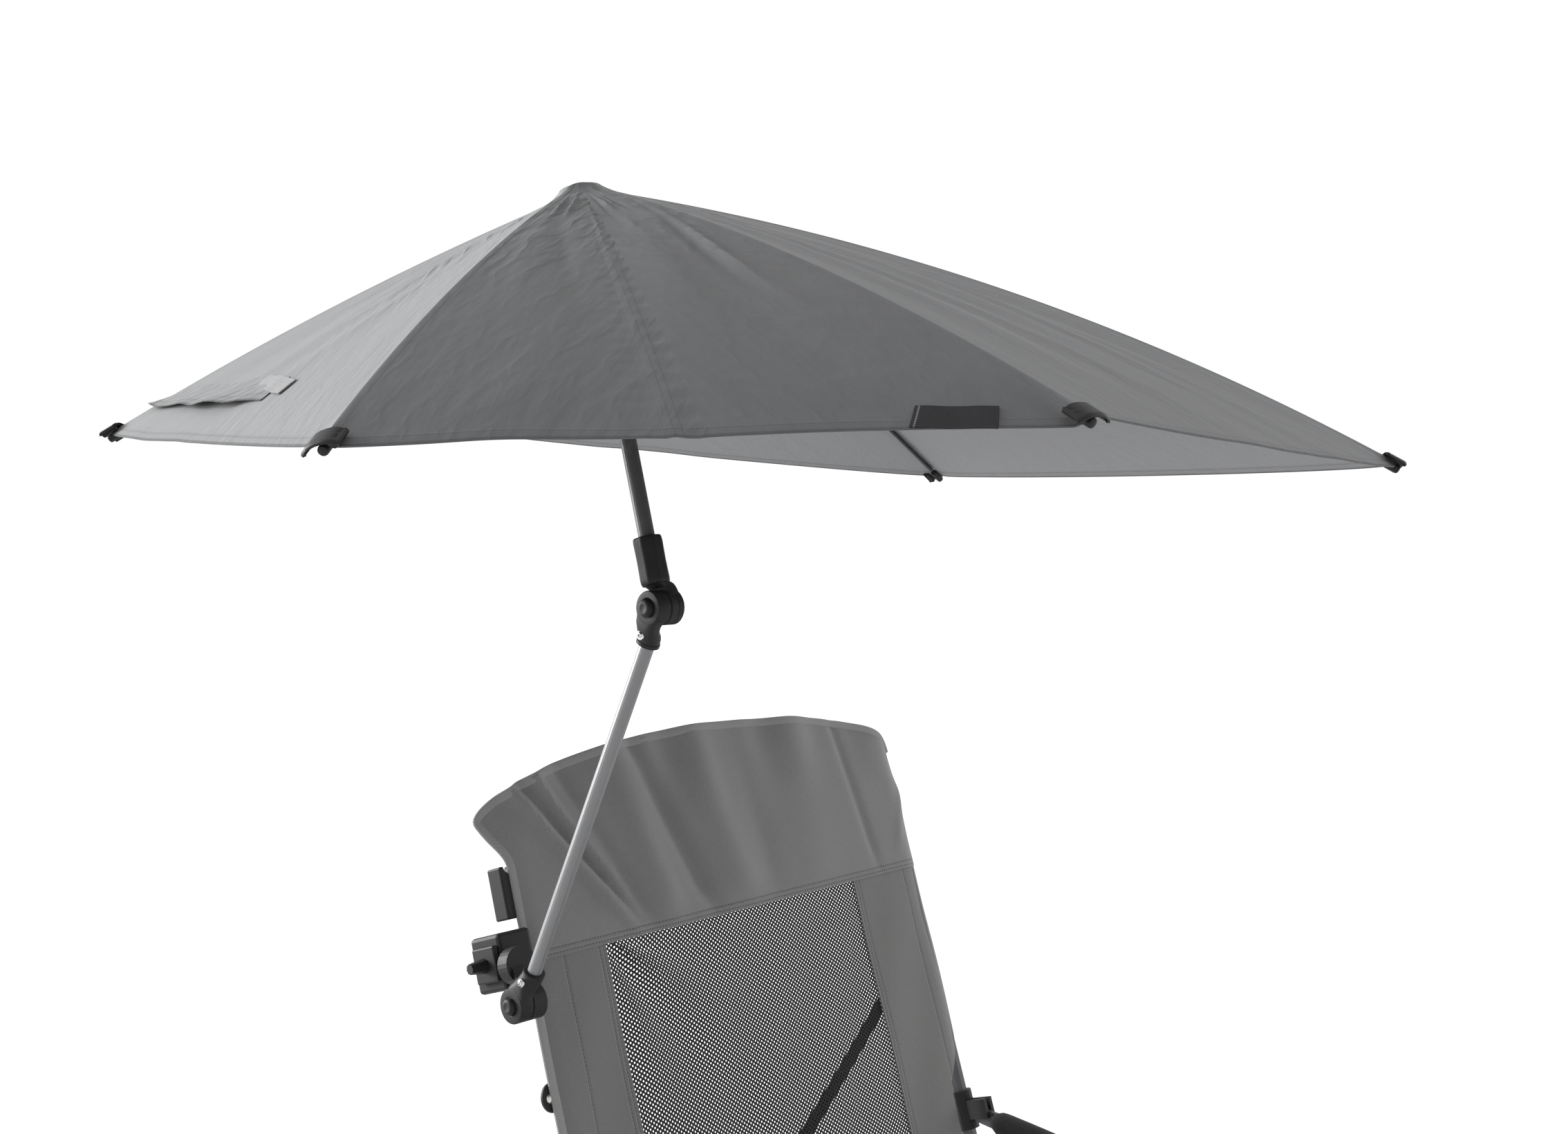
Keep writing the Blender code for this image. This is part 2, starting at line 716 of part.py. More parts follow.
def clamp():
    """Block outside the post, and two jaws that reach in behind the panel and round the post."""
    seat = post_seat("clamp_seat", CLAMP_Z)
    inner = -POST_R - GAP
    body = block(
        "clamp_body", (-BODY_OUT, -BODY_FRONT, -BODY_H / 2), (-BODY_IN, BODY_REAR, BODY_H / 2),
        BLACK_PLASTIC, seat, BODY_ROUND,
    )
    jaw = block(
        "clamp_jaw", (-BODY_IN - BODY_ROUND, inner + GAP * 2, -JAW_H / 2), (inner, BODY_REAR / 2 - inner, JAW_H / 2),
        parent=seat,
    )
    hook = block(
        "clamp_hook", (-BODY_IN, -inner, -JAW_H / 2), (JAW_REACH, -inner + JAW_T, JAW_H / 2), parent=seat
    )
    boss = turned(
        "clamp_boss", -BODY_FRONT - BOSS_L, -BODY_FRONT + BODY_ROUND / 2, BOSS_R, axis="Y",
        centre=(-SWIVEL_OUT, 0, -SWIVEL_DROP), parent=seat,
    )
    combine(body, "UNION", jaw, hook, boss)
    face = -BODY_OUT - GAP
    block(
        "clamp_plate",
        (face - PLATE_T, -PLATE_FRONT - PLATE_W / 2, -PLATE_H / 2),
        (face, -PLATE_FRONT + PLATE_W / 2, PLATE_H / 2),
        BLACK_PLASTIC, seat, PLATE_T / 4,
    )
    knob_hinge = empty("clamp_knob_hinge", (face - PLATE_T - GAP, -PLATE_FRONT, 0), parent=seat)
    turned("clamp_knob", -KNOB_L, 0, KNOB_TIP_R, KNOB_R, "X", sides=8, finish=BLACK_PLASTIC, parent=knob_hinge)
    return seat


def holder():
    """Moulded rest above the clamp, with an open half-round trough on top."""
    seat = post_seat("holder_seat", HOLDER_Z)
    made = block(
        "pole_holder", (-HOLDER_OUT, -HOLDER_FRONT, -HOLDER_H / 2), (-HOLDER_IN, HOLDER_REAR, HOLDER_H / 2),
        BLACK_PLASTIC, seat, BODY_ROUND / 2,
    )
    trough = turned(
        "holder_trough", -HOLDER_REAR, HOLDER_REAR * 2, TROUGH_R, axis="Y",
        centre=(-(HOLDER_OUT + HOLDER_IN) / 2, 0, HOLDER_H / 2), parent=seat,
    )
    return combine(made, "DIFFERENCE", trough)


def anchor():
    """Riveted plate at the near post that the strap's loop hooks behind."""
    seat = post_seat("anchor_seat", ANCHOR_Z)
    made = block(
        "anchor_plate", (-ANCHOR_OUT, -ANCHOR_FRONT, -ANCHOR_H / 2),
        (-POST_R - GAP, -ANCHOR_FRONT + ANCHOR_T, ANCHOR_H / 2), BLACK_PLASTIC, seat, ANCHOR_T / 4,
    )
    rivet = turned(
        "anchor_rivet", -ANCHOR_FRONT - RIVET_H, -ANCHOR_FRONT + ANCHOR_T / 2, RIVET_R / 2, RIVET_R, "Y",
        (-ANCHOR_OUT + RIVET_R * 1.6, 0, 0), parent=seat,
    )
    return combine(made, "UNION", rivet)


clamp_seat = clamp()
holder()
anchor()


# Hinges of the umbrella's arm: each is two half discs side by side on one axis along X

def half_hinge(name, radius, outward, neck_up, parent, finish, mouth=NECK_L):
    """One half: a disc on its own side of the middle, and a neck that stands clear of the other disc."""
    low, high = sorted((outward * GAP / 2, outward * HALF_W))
    made = turned(name, low, high, radius, axis="X", finish=finish, parent=parent, sides=FINE)
    link = block(
        f"{name}_link",
        (low, -NECK_TIP_R * LINK_FULL_SHARE, min(0, neck_up * mouth * LINK_REACH_SHARE)),
        (high - (high - low) * 0.1, NECK_TIP_R * LINK_FULL_SHARE, max(0, neck_up * mouth * LINK_REACH_SHARE)),
        parent=parent,
    )
    clear = radius + NECK_CLEAR
    first, last = sorted((neck_up * clear, neck_up * mouth))
    radii = (NECK_R, NECK_TIP_R) if neck_up > 0 else (NECK_TIP_R, NECK_R)
    neck = turned(f"{name}_neck", first, last, *radii, parent=parent)
    return combine(made, "UNION", link, neck)


def button(name, hinge_half, parent):
    """Push button in a blind bore of the near half."""
    bore = turned(
        f"{name}_bore", -HALF_W - OVERRUN, -HALF_W + BUTTON_DEEP + GAP, BUTTON_R + BUTTON_FIT, axis="X",
        parent=hinge_half.parent,
    )
    combine(hinge_half, "DIFFERENCE", bore)
    seat = empty(f"{name}_seat", (-HALF_W, 0, 0), parent=parent)
    made = turned(
        name, -BUTTON_OUT, BUTTON_DEEP / 2, BUTTON_R, axis="X", finish=BLACK_PLASTIC, parent=seat
    )
    bevel(made, BUTTON_R / 6)
    return made


def socket_screw(name, socket, toward, parent):
    """Cap screw let into the socket's outer side."""
    place = (0, 0, toward * SCREW_AT)
    seat = -NECK_R - SCREW_PROUD
    pocket = turned(
        f"{name}_pocket", seat - OVERRUN, seat + SCREW_DEEP + GAP * 2, SCREW_R + GAP, axis="X", centre=place,
        parent=parent,
    )
    combine(socket, "DIFFERENCE", pocket)
    made = turned(name, seat, seat + SCREW_DEEP, SCREW_R, axis="X", centre=place, finish=ZINC, parent=parent)
    bevel(made, SCREW_R / 8)
    return made


swivel_hinge = empty(
    "swivel_hinge", (-SWIVEL_OUT, -BODY_FRONT - BOSS_L - GAP, -SWIVEL_DROP), parent=clamp_seat
)
swivel = turned("swivel", -DISC_T, 0, DISC_R, axis="Y", finish=BLACK_PLASTIC, parent=swivel_hinge, sides=FINE)
lower_hinge = empty("lower_hinge", (HINGE_X, LOWER_Y, LOWER_Z), (ARM_LEAN, 0, 0))
fixed_half = turned("swivel_half", GAP / 2, HALF_W, HINGE_R, axis="X", parent=lower_hinge, sides=FINE)
bpy.context.view_layer.update()
disc_middle = swivel_hinge.matrix_world @ Vector((0, -DISC_T / 2, 0))
link_run = disc_middle - Vector((disc_middle.x, LOWER_Y, LOWER_Z))
link_seat = empty("swivel_link_seat", (HINGE_X, LOWER_Y, LOWER_Z), (-math.atan2(link_run.y, link_run.z), 0, 0))
swivel_link = block(
    "swivel_link",
    (GAP / 2, -HINGE_R * LINK_SHARE, 0),
    (HALF_W * 0.9, HINGE_R * LINK_SHARE, link_run.length),
    parent=link_seat,
)
combine(swivel, "UNION", fixed_half, swivel_link)

lower_socket = half_hinge("lower_socket", HINGE_R, -1, 1, lower_hinge, BLACK_PLASTIC)
button("lower_button", lower_socket, lower_hinge)
socket_screw("lower_screw", lower_socket, 1, lower_hinge)
turned(
    "arm_tube", NECK_L + GAP, ARM_L - NECK_L - GAP, STEM_R, finish=SILVER_PAINT, parent=lower_hinge
)
arm_top = empty("arm_top", (0, 0, ARM_L), parent=lower_hinge)
upper_socket = half_hinge("upper_socket", HINGE_UP_R, -1, -1, arm_top, BLACK_PLASTIC)
button("upper_button", upper_socket, arm_top)
socket_screw("upper_screw", upper_socket, -1, arm_top)
upper_hinge = empty("upper_hinge", (0, 0, ARM_L), (-ARM_LEAN - POLE_LEAN, 0, 0), lower_hinge)
half_hinge("pole_knuckle", HINGE_UP_R, 1, 1, upper_hinge, BLACK_PLASTIC, HINGE_UP_R + NECK_CLEAR * 4)
grip_from = HINGE_UP_R + NECK_CLEAR * 4 + GAP
grip = turned("sleeve_grip", grip_from, grip_from + GRIP_L, GRIP_R, sides=8, finish=BLACK_PLASTIC, parent=upper_hinge)
bevel(grip, GRIP_ROUND)
turned(
    "pole", grip_from + GRIP_L + GAP, POLE_L + CAP_RISE - GAP, POLE_R, finish=GREY_PAINT, parent=upper_hinge
)


# Head: crown, runner, ribs, stretchers, tips and canopy

def ring(name, low, high, radius, parent):
    made = turned(name, low, high, radius, finish=BLACK_PLASTIC, parent=parent, sides=FINE)
    bore = turned(f"{name}_bore", low - OVERRUN, high + OVERRUN, POLE_R + GAP, parent=parent)
    return combine(made, "DIFFERENCE", bore)


PIVOT_DROP = RING_DROP + RING_H / 2
turned(
    "crown_cap", POLE_L + CAP_RISE, POLE_L + CAP_RISE + CAP_T, CAP_R, finish=BLACK_PLASTIC, parent=upper_hinge,
    sides=FINE,
)
ring("crown_ring", POLE_L - RING_DROP - RING_H, POLE_L - RING_DROP, RING_R, upper_hinge)
runner_slide = empty("runner_slide", (0, 0, POLE_L - PIVOT_DROP - RUNNER_OPEN), parent=upper_hinge)
ring("runner", -RUNNER_H + RING_H / 2, RING_H / 2, RING_R, runner_slide)

bpy.context.view_layer.update()
TOP = upper_hinge.matrix_world @ Vector((0, 0, POLE_L))
DOWN = (upper_hinge.matrix_world.to_3x3() @ -UP).normalized()


def rib_frame(tip):
    """A rib's pivot, direction, hinge axis, length and open angle from the pole, in world terms."""
    reach = Vector((tip[0], tip[1], -tip[2]))
    outward = (reach - DOWN * reach.dot(DOWN)).normalized()
    pivot = TOP + DOWN * PIVOT_DROP + outward * HUB_R
    run = TOP + reach - pivot
    across = run.cross(DOWN).normalized()
    return pivot, run.normalized(), across, run.length, run.angle(DOWN), outward


def linkage(open_angle):
    """Where a stretcher meets its rib, and its length, so that both limits close."""
    shut = RUNNER_SHUT * math.cos(RIB_SHUT)
    meet = (RUNNER_SHUT ** 2 - RUNNER_OPEN ** 2) / (2 * (shut - RUNNER_OPEN * math.cos(open_angle)))
    across = meet * math.sin(open_angle)
    along = meet * math.cos(open_angle) - RUNNER_OPEN
    return meet, math.hypot(across, along), math.atan2(across, along)


def bow(length, share, place):
    """Height of a rib's bow at a place along it."""
    u = place / length
    return 4 * share * length * u * (1 - u)


RIB_POINTS = 9
to_head = upper_hinge.matrix_world.inverted()
to_runner = runner_slide.matrix_world.inverted()


def umbrella_rib(key, tip):
    pivot, along, across, length, angle, outward = rib_frame(tip)
    local = to_head.to_3x3()
    hinge = oriented_empty(f"rib_{key}_hinge", to_head @ pivot, local @ along, local @ across, upper_hinge)
    end = length - TIP_BACK
    points = []
    for i in range(RIB_POINTS):
        place = end * i / (RIB_POINTS - 1)
        points.append((place, 0, bow(length, tip[3], place)))
    tube(f"rib_{key}", points, RIB_R, SPRING_STEEL, hinge, 1)
    cap_end = length - TIP_BACK + GAP
    slope = -4 * tip[3]
    seat = empty(f"tip_{key}_seat", (cap_end, 0, bow(length, tip[3], end)), (0, -math.atan(slope), 0), hinge)
    block(
        f"tip_cap_{key}", (0, -TIP_W / 2, -TIP_H / 2), (TIP_L, TIP_W / 2, TIP_H / 2),
        BLACK_PLASTIC, seat, TIP_ROUND,
    )
    meet, reach, lean = linkage(angle)
    runner_pivot = pivot + DOWN * RUNNER_OPEN
    out = (DOWN * math.cos(lean) + outward * math.sin(lean)).normalized()
    local = to_runner.to_3x3()
    side = oriented_empty(f"stretcher_{key}_hinge", to_runner @ runner_pivot, local @ out, local @ across,
                          runner_slide)
    offset = RIB_R + STRETCHER_R + GAP
    tube(f"stretcher_{key}", [(0, offset, 0), (reach, offset, 0)], STRETCHER_R, SPRING_STEEL, side, 1)


for key, tip in RIB_TIPS.items():
    umbrella_rib(key, tip)


def canopy():
    """Six gores drawn over the ribs: each row is a ring at a share of the ribs' lengths."""
    frames = [(rib_frame(tip), tip) for tip in RIB_TIPS.values()]

    def on_rib(frame, tip, share):
        pivot, along, across, length, _, _ = frame
        place = (length - TIP_BACK - GAP * 2) * share
        lift = RIB_R + CANOPY_LIFT + bow(length, tip[3], place)
        normal = along.cross(across)
        return pivot + along * place + normal * lift

    rows = []
    for r in range(RADIAL_STEPS + 1):
        share = r / RADIAL_STEPS
        row = []
        for k in range(len(frames)):
            one = frames[k]
            two = frames[(k + 1) % len(frames)]
            for g in range(GORE_STEPS):
                t = g / GORE_STEPS
                hang = 4 * t * (1 - t)
                drawn = share * (1 + HEM_SHARE * hang * share ** 3)
                place = on_rib(*one, drawn).lerp(on_rib(*two, drawn), t)
                row.append(place - UP * SAG_SHARE * hang * share * (1 - share) * one[0][3])
        rows.append(row)
    shoulder = []
    top_ring = []
    for place in rows[0]:
        outward = place - TOP
        outward -= DOWN * outward.dot(DOWN)
        outward.normalize()
        level = TOP + DOWN * (RING_DROP - GAP * 2)
        shoulder.append(level + outward * (RING_R + GAP * 2))
        top_ring.append(level + outward * CANOPY_HOLE_R)
    return sheet_mesh("canopy", [top_ring, shoulder] + rows, CANOPY_T, CANOPY_CLOTH, closed=True)


canopy()
bpy.context.view_layer.update()
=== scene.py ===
"""The looks of the umbrella chair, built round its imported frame."""

import math

import bpy
import numpy as np
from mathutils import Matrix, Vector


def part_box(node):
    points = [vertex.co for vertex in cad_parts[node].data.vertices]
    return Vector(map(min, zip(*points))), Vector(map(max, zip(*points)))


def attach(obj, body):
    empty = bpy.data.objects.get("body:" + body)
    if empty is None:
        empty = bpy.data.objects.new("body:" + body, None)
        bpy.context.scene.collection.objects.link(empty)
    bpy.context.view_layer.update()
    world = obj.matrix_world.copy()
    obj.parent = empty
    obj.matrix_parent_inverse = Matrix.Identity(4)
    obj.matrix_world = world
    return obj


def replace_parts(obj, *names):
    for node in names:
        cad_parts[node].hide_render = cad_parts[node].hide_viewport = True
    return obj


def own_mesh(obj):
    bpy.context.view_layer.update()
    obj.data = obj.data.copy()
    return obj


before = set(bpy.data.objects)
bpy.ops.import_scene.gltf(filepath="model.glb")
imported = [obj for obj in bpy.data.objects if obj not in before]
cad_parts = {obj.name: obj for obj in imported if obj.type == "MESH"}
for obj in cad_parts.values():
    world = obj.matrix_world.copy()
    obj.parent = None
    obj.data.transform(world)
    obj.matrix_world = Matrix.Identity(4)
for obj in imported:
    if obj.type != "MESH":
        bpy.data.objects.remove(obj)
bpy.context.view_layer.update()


# Room: a wide pale floor and a pale sky, a broad soft light on the umbrella's near side, a weak one ahead.
# The camera stands a little above the canopy's hem and looks level past the chair's umbrella side.

EYE = (-0.8444, -0.9805, 1.239)
HEADING = math.radians(-46.645)
LENS = 38.1
LENS_SHIFT = -0.0428
FLOOR_REACH = 16
FLOOR_GREY = (0.74, 0.74, 0.745, 1)

eye = bpy.data.objects.new("eye", bpy.data.cameras.new("eye"))
eye.data.sensor_width = 36
eye.data.lens = LENS
eye.data.shift_y = LENS_SHIFT
eye.location = EYE
eye.rotation_euler = (math.radians(90), 0, HEADING)
bpy.context.scene.collection.objects.link(eye)
bpy.context.scene.camera = eye


class Link:
    """One output of a material's node: sums, products and the like with it add Math nodes."""

    def __init__(self, finish, socket):
        self.finish = finish
        self.socket = socket

    def math(self, operation, *others, clamp=False):
        sockets = dict(enumerate((self,) + others))
        return self.finish.node("Math", {"operation": operation, "use_clamp": clamp}, sockets)

    def __add__(self, other):
        return self.math("ADD", other)

    def __sub__(self, other):
        return self.math("SUBTRACT", other)

    def __mul__(self, other):
        return self.math("MULTIPLY", other)

    def __truediv__(self, other):
        return self.math("DIVIDE", other)

    def __rsub__(self, other):
        return self.math("MULTIPLY", -1).math("ADD", other)

    def clamped(self):
        return self.math("ADD", 0, clamp=True)

    def fraction(self):
        return self.math("FRACT")

    def bright_near(self, centre, half, soft):
        """1 within half of the centre, falling to 0 over soft."""
        return 1 - ((self - centre).math("ABSOLUTE") - half).math("DIVIDE", soft, clamp=True)

    def above(self, level, soft):
        """0 below the level, rising to 1 over soft."""
        return (self - level).math("DIVIDE", soft, clamp=True)

    def repeated(self, pitch, half, soft):
        """Bright in the middle of each pitch; half and soft are shares of it."""
        return (self / pitch).fraction().bright_near(0.5, half, soft)

    __radd__ = __add__


class Finish:
    """A material made of nodes; node() takes a type, its settings, its sockets and an output."""

    def __init__(self, name):
        self.material = bpy.data.materials.new(name)
        self.material.use_nodes = True
        self.tree = self.material.node_tree
        self.shader = [n for n in self.tree.nodes if n.type == "BSDF_PRINCIPLED"][0]

    def fill(self, made, sockets):
        for key, value in sockets.items():
            if isinstance(value, Link):
                self.tree.links.new(value.socket, made.inputs[key])
            else:
                made.inputs[key].default_value = value

    def node(self, kind, settings, sockets, out=0):
        made = self.tree.nodes.new("ShaderNode" + kind)
        for key, value in settings.items():
            setattr(made, key, value)
        self.fill(made, sockets)
        return Link(self, made.outputs[out])

    def place(self, kind="Object"):
        return self.node("TexCoord", {}, {}, kind)

    def axis(self, vector, which):
        return self.node("SeparateXYZ", {}, {0: vector}, which)

    def noise(self, vector, scale, detail=2.0, roughness=0.5):
        """Noise at a scale, or drawn out by three scales."""
        if isinstance(scale, tuple):
            vector, scale = self.node("Mapping", {}, {"Vector": vector, "Scale": scale}), 1
        sockets = {"Vector": vector, "Scale": scale, "Detail": detail, "Roughness": roughness}
        return self.node("TexNoise", {}, sockets)

    def mask(self, name):
        return self.node("Attribute", {"attribute_name": name}, {}, "Fac")

    def mix(self, one, other, factor):
        return self.node("Mix", {"data_type": "RGBA"}, {0: factor, 6: one, 7: other}, 2)

    def bump(self, height, depth, strength):
        return self.node("Bump", {}, {"Height": height, "Distance": depth, "Strength": strength})

    def wear(self, **sockets):
        """Sets or links the shader's own sockets, their names with _ for a space."""
        self.fill(self.shader, {key.replace("_", " "): value for key, value in sockets.items()})
        return self.material


def rgb(*colour):
    return tuple(colour) + (1,)


def shaded(colour, times=1.0, plus=0.0):
    return rgb(*(c * times + plus for c in colour))


def on_uv(name):
    """A finish, its place on the UV map, and that place's two axes."""
    f = Finish(name)
    place = f.place("UV")
    return f, place, f.axis(place, 0), f.axis(place, 1)


def floor_finish():
    """Pale matt floor with a very faint mottling."""
    f = Finish("floor_coat")
    mottle = f.noise(f.place(), 3.0, 4)
    return f.wear(Base_Color=f.mix(FLOOR_GREY, rgb(0.77, 0.77, 0.775), mottle), Roughness=0.85)


def grid_faces(rows, columns, first=0, flip=False, wrap=False):
    """Quads of a grid of points; a face's normal is the row step crossed with the column step."""
    index = first + np.arange(rows * columns).reshape(rows, columns)
    if wrap:
        index = np.hstack([index, index[:, :1]])
    quads = np.stack([index[:-1, :-1], index[1:, :-1], index[1:, 1:], index[:-1, 1:]], -1).reshape(-1, 4)
    return quads[:, ::-1] if flip else quads


def spans(rows, columns):
    """Two grids, one rising down the rows and one across the columns, each from (first, last, count)."""
    return np.meshgrid(np.linspace(*rows), np.linspace(*columns), indexing="ij")


def make(name, points, faces, finish, body=None, uv=None, masks=None, smooth=True):
    """A mesh object at the origin from points and faces, with a UV place and mask values for each point."""
    mesh = bpy.data.meshes.new(name)
    points = np.asarray(points, float).reshape(-1, 3)
    mesh.from_pydata(points.tolist(), [], [list(map(int, face)) for face in faces])
    if uv is not None:
        corner = np.zeros(len(mesh.loops), int)
        mesh.loops.foreach_get("vertex_index", corner)
        layer = mesh.uv_layers.new(name="UVMap")
        layer.data.foreach_set("uv", np.asarray(uv, float).reshape(-1, 2)[corner].ravel())
    for key, values in (masks or {}).items():
        attribute = mesh.attributes.new(key, "FLOAT", "POINT")
        attribute.data.foreach_set("value", np.asarray(values, float).ravel())
    if smooth:
        mesh.shade_smooth()
        mesh.set_sharp_from_angle(angle=math.radians(38))
    mesh.materials.append(finish)
    made = bpy.data.objects.new(name, mesh)
    bpy.context.scene.collection.objects.link(made)
    if body:
        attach(made, body)
    return made


ends = (-FLOOR_REACH, FLOOR_REACH)
floor_place = np.array([[(x, y, -0.0001) for y in ends] for x in ends])
floor = make("floor", floor_place, grid_faces(2, 2), floor_finish())

sky = bpy.data.worlds.new("sky")
bpy.context.scene.world = sky
sky.use_nodes = True
for node in sky.node_tree.nodes:
    if node.type == "BACKGROUND":
        node.inputs["Color"].default_value = (0.995, 0.997, 1, 1)
        node.inputs["Strength"].default_value = 1.03


def far_light(name, away, power, spread):
    """A broad light far off in one direction; its spread in degrees softens the shadows."""
    lamp = bpy.data.lights.new(name, "SUN")
    lamp.energy = power
    lamp.angle = math.radians(spread)
    made = bpy.data.objects.new(name, lamp)
    made.rotation_euler = (
        math.atan2(math.hypot(away[0], away[1]), away[2]), 0, math.atan2(away[1], away[0]) + math.pi / 2
    )
    bpy.context.scene.collection.objects.link(made)


far_light("side_light", (-0.46, 0.86, 0.24), 6.5, 35)
far_light("far_side_light", (0.92, -0.30, 0.25), 0.8, 30)
bpy.context.scene.view_settings.view_transform = "Standard"


# Chair frame: bent steel tube on flat foot bars, all sprayed dark grey, with two crossing leg frames.
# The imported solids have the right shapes, so they only get the coat, a little dusty and rubbed.

FRAME_GREY = (0.045, 0.046, 0.049)
FRAME_NODES = (
    "near_skid", "far_skid", "near_rear_post", "far_rear_post", "near_front_leg", "far_front_leg",
    "outer_leg_frame", "inner_leg_frame", "front_cross_spacer", "rear_cross_spacer",
)


def sprayed(name, colour, roughness, metallic=0.0, peel=700, dust=0.25):
    """Sprayed coat: orange-peel relief, rubbed patches of another roughness and thin pale dust."""
    f = Finish(name)
    place = f.place()
    rubbed = f.noise(place, 30, 4, 0.6)
    dusty = f.noise(place, 120, 5, 0.7).above(0.5, 0.3) * dust
    scratch = f.noise(place, (900, 900, 12), 2).above(0.68, 0.05) * 0.35
    pale = shaded(colour, 0.6, 0.12)
    shade = f.mix(shaded(colour), pale, (dusty + scratch * dust).clamped())
    rough = rubbed * 0.16 + (roughness - 0.08)
    relief = f.bump(f.noise(place, peel, 2), 0.0002, 0.25)
    return f.wear(Base_Color=shade, Roughness=rough, Metallic=metallic, Normal=relief)


def coat(finish, *names):
    """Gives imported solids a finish."""
    for name in names:
        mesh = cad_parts[name].data
        mesh.materials.clear()
        mesh.materials.append(finish)


coat(sprayed("frame_coat", FRAME_GREY, 0.42, 0.1), *FRAME_NODES)


# Mouldings: glides, brackets, clamp, holder, hinges and runner are black glass-filled nylon with a fine spark
# texture, dry and slightly grey on its worn faces.

NYLON_BLACK = (0.013, 0.013, 0.0135)
NYLON_NODES = (
    "near_front_glide", "near_rear_glide", "far_front_glide", "far_rear_glide", "near_arm_bracket",
    "far_arm_bracket", "anchor_plate", "clamp_body", "clamp_plate", "clamp_knob", "pole_holder", "swivel",
    "lower_socket", "lower_button", "upper_socket", "upper_button", "pole_knuckle", "sleeve_grip",
    "crown_cap", "crown_ring", "runner",
)


def moulded(name, colour, roughness):
    """Moulding: fine spark relief, cloudy dryness and a few pale rubs."""
    f = Finish(name)
    place = f.place()
    cloud = f.noise(place, 60, 4, 0.6)
    rub = f.noise(place, 240, 5, 0.75).above(0.58, 0.2)
    shade = f.mix(shaded(colour), shaded(colour, 1, 0.022), rub * 0.5)
    relief = f.bump(f.noise(place, 1500, 3, 0.6), 0.00012, 0.6)
    return f.wear(
        Base_Color=shade, Roughness=cloud * 0.16 + (roughness - 0.08), Normal=relief, Specular_IOR_Level=0.17
    )


nylon = moulded("nylon", NYLON_BLACK, 0.52)
coat(nylon, *NYLON_NODES)
SOFT_EDGES = (
    ("clamp_body", "near_side", 0.0016), ("clamp_plate", "near_side", 0.0012),
    ("pole_holder", "near_side", 0.0012), ("swivel", "swivel", 0.0012), ("clamp_knob", "clamp_screw", 0.0006),
    ("near_arm_bracket", "near_side", 0.0012), ("far_arm_bracket", "far_side", 0.0012),
)


def softened(node, body, width):
    """A packed moulding with its sharp edges rounded off, as they leave a mould."""
    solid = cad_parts[node]
    mesh = solid.data.copy()
    mesh.transform(solid.matrix_world)
    made = bpy.data.objects.new(f"{node}_moulding", mesh)
    bpy.context.scene.collection.objects.link(made)
    rounding = made.modifiers.new("rounding", "BEVEL")
    rounding.width = width
    rounding.segments = 3
    rounding.limit_method = "ANGLE"
    rounding.angle_limit = math.radians(35)
    rounding.harden_normals = True
    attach(made, body)
    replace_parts(made, node)


for node, body, width in SOFT_EDGES:
    softened(node, body, width)


# Umbrella tubes: the lower arm is thin aluminium sprayed silver, the short pole above the grip a darker grey.
# The screws are zinc, the ribs and stretchers blackened spring steel.

SILVER = (0.16, 0.161, 0.164)
POLE_GREY = (0.048, 0.048, 0.050)
STEEL_BLACK = (0.03, 0.03, 0.032)

RIB_KEYS = "abcdef"


def plated(name, colour, roughness):
    """Zinc plate: fine spangle in the roughness and a slight cloudiness in the colour."""
    f = Finish(name)
    place = f.place()
    spangle = f.noise(place, 900, 3)
    shade = f.mix(shaded(colour), shaded(colour, 0.72), f.noise(place, 250, 3))
    return f.wear(Base_Color=shade, Metallic=1.0, Roughness=spangle * 0.15 + (roughness - 0.07))


zinc = plated("zinc", (0.62, 0.61, 0.59), 0.3)
steel_coat = sprayed("steel_coat", STEEL_BLACK, 0.34, 0.6, 900, 0.1)
coat(sprayed("silver_coat", SILVER, 0.38, 0.35, 1100, 0.12), "arm_tube")
coat(sprayed("pole_coat", POLE_GREY, 0.4, 0.2, 1100, 0.15), "pole")
coat(zinc, "lower_screw", "upper_screw")
for key in RIB_KEYS:
    coat(steel_coat, f"rib_{key}", f"stretcher_{key}")
    coat(nylon, f"tip_cap_{key}")


# Canopy: six gores of thin grey polyester, sewn together over the ribs and drawn tight to a cap on each tip.
# It is cut here down the middle of each gore, so that each part folds with its own rib.

ARM_X = -0.062
POLE_LEAN = math.radians(16.1)
DOWN = np.array([0, -math.sin(POLE_LEAN), -math.cos(POLE_LEAN)])
POLE_FOOT = np.array([ARM_X, -0.123247, 1.164027])
POLE_RISE = 0.3165
TOP = POLE_FOOT - DOWN * POLE_RISE
PIVOT_DROP = 0.009
HUB_R = 0.0145
RIB_TIPS = {
    "a": (-0.220, 0.280, 0.181, 0.020),
    "b": (-0.326, -0.191, 0.202, 0.022),
    "c": (-0.058, -0.475, 0.188, 0.026),
    "d": (0.343, -0.463, 0.206, 0.045),
    "e": (0.483, 0.045, 0.207, 0.035),
    "f": (0.167, 0.350, 0.167, 0.020),
}
CLOTH_LIFT = 0.0033
CLOTH_T = 0.0005
HEM_OUT = 0.019
HEM_W = 0.0105
SEAM_W = 0.004
GORE_SAG = 0.020
ROWS = 90
HALF_COLUMNS = 44
CANOPY_GREY = (0.078, 0.079, 0.081)
# Painted light: the canopy's grey as it looks lit, used on the gores that face the light.
CANOPY_PAINTED_LIT = (0.205, 0.207, 0.210)
CANOPY_INSIDE = (0.25, 0.252, 0.255)
# Painted light and shade for each gore, from 0 for the shaded grey to 1 for the lit grey.
PAINTED_GORE_LIGHT = {"a": 0.74, "b": 0.0, "c": 0.34, "d": 0.3, "e": 0.5, "f": 0.7}
MIDDLE_SEAM = 0.46
HUB_ZONE = 0.022
FLAT_R = 0.0158
FLAT_DROP = 0.0016
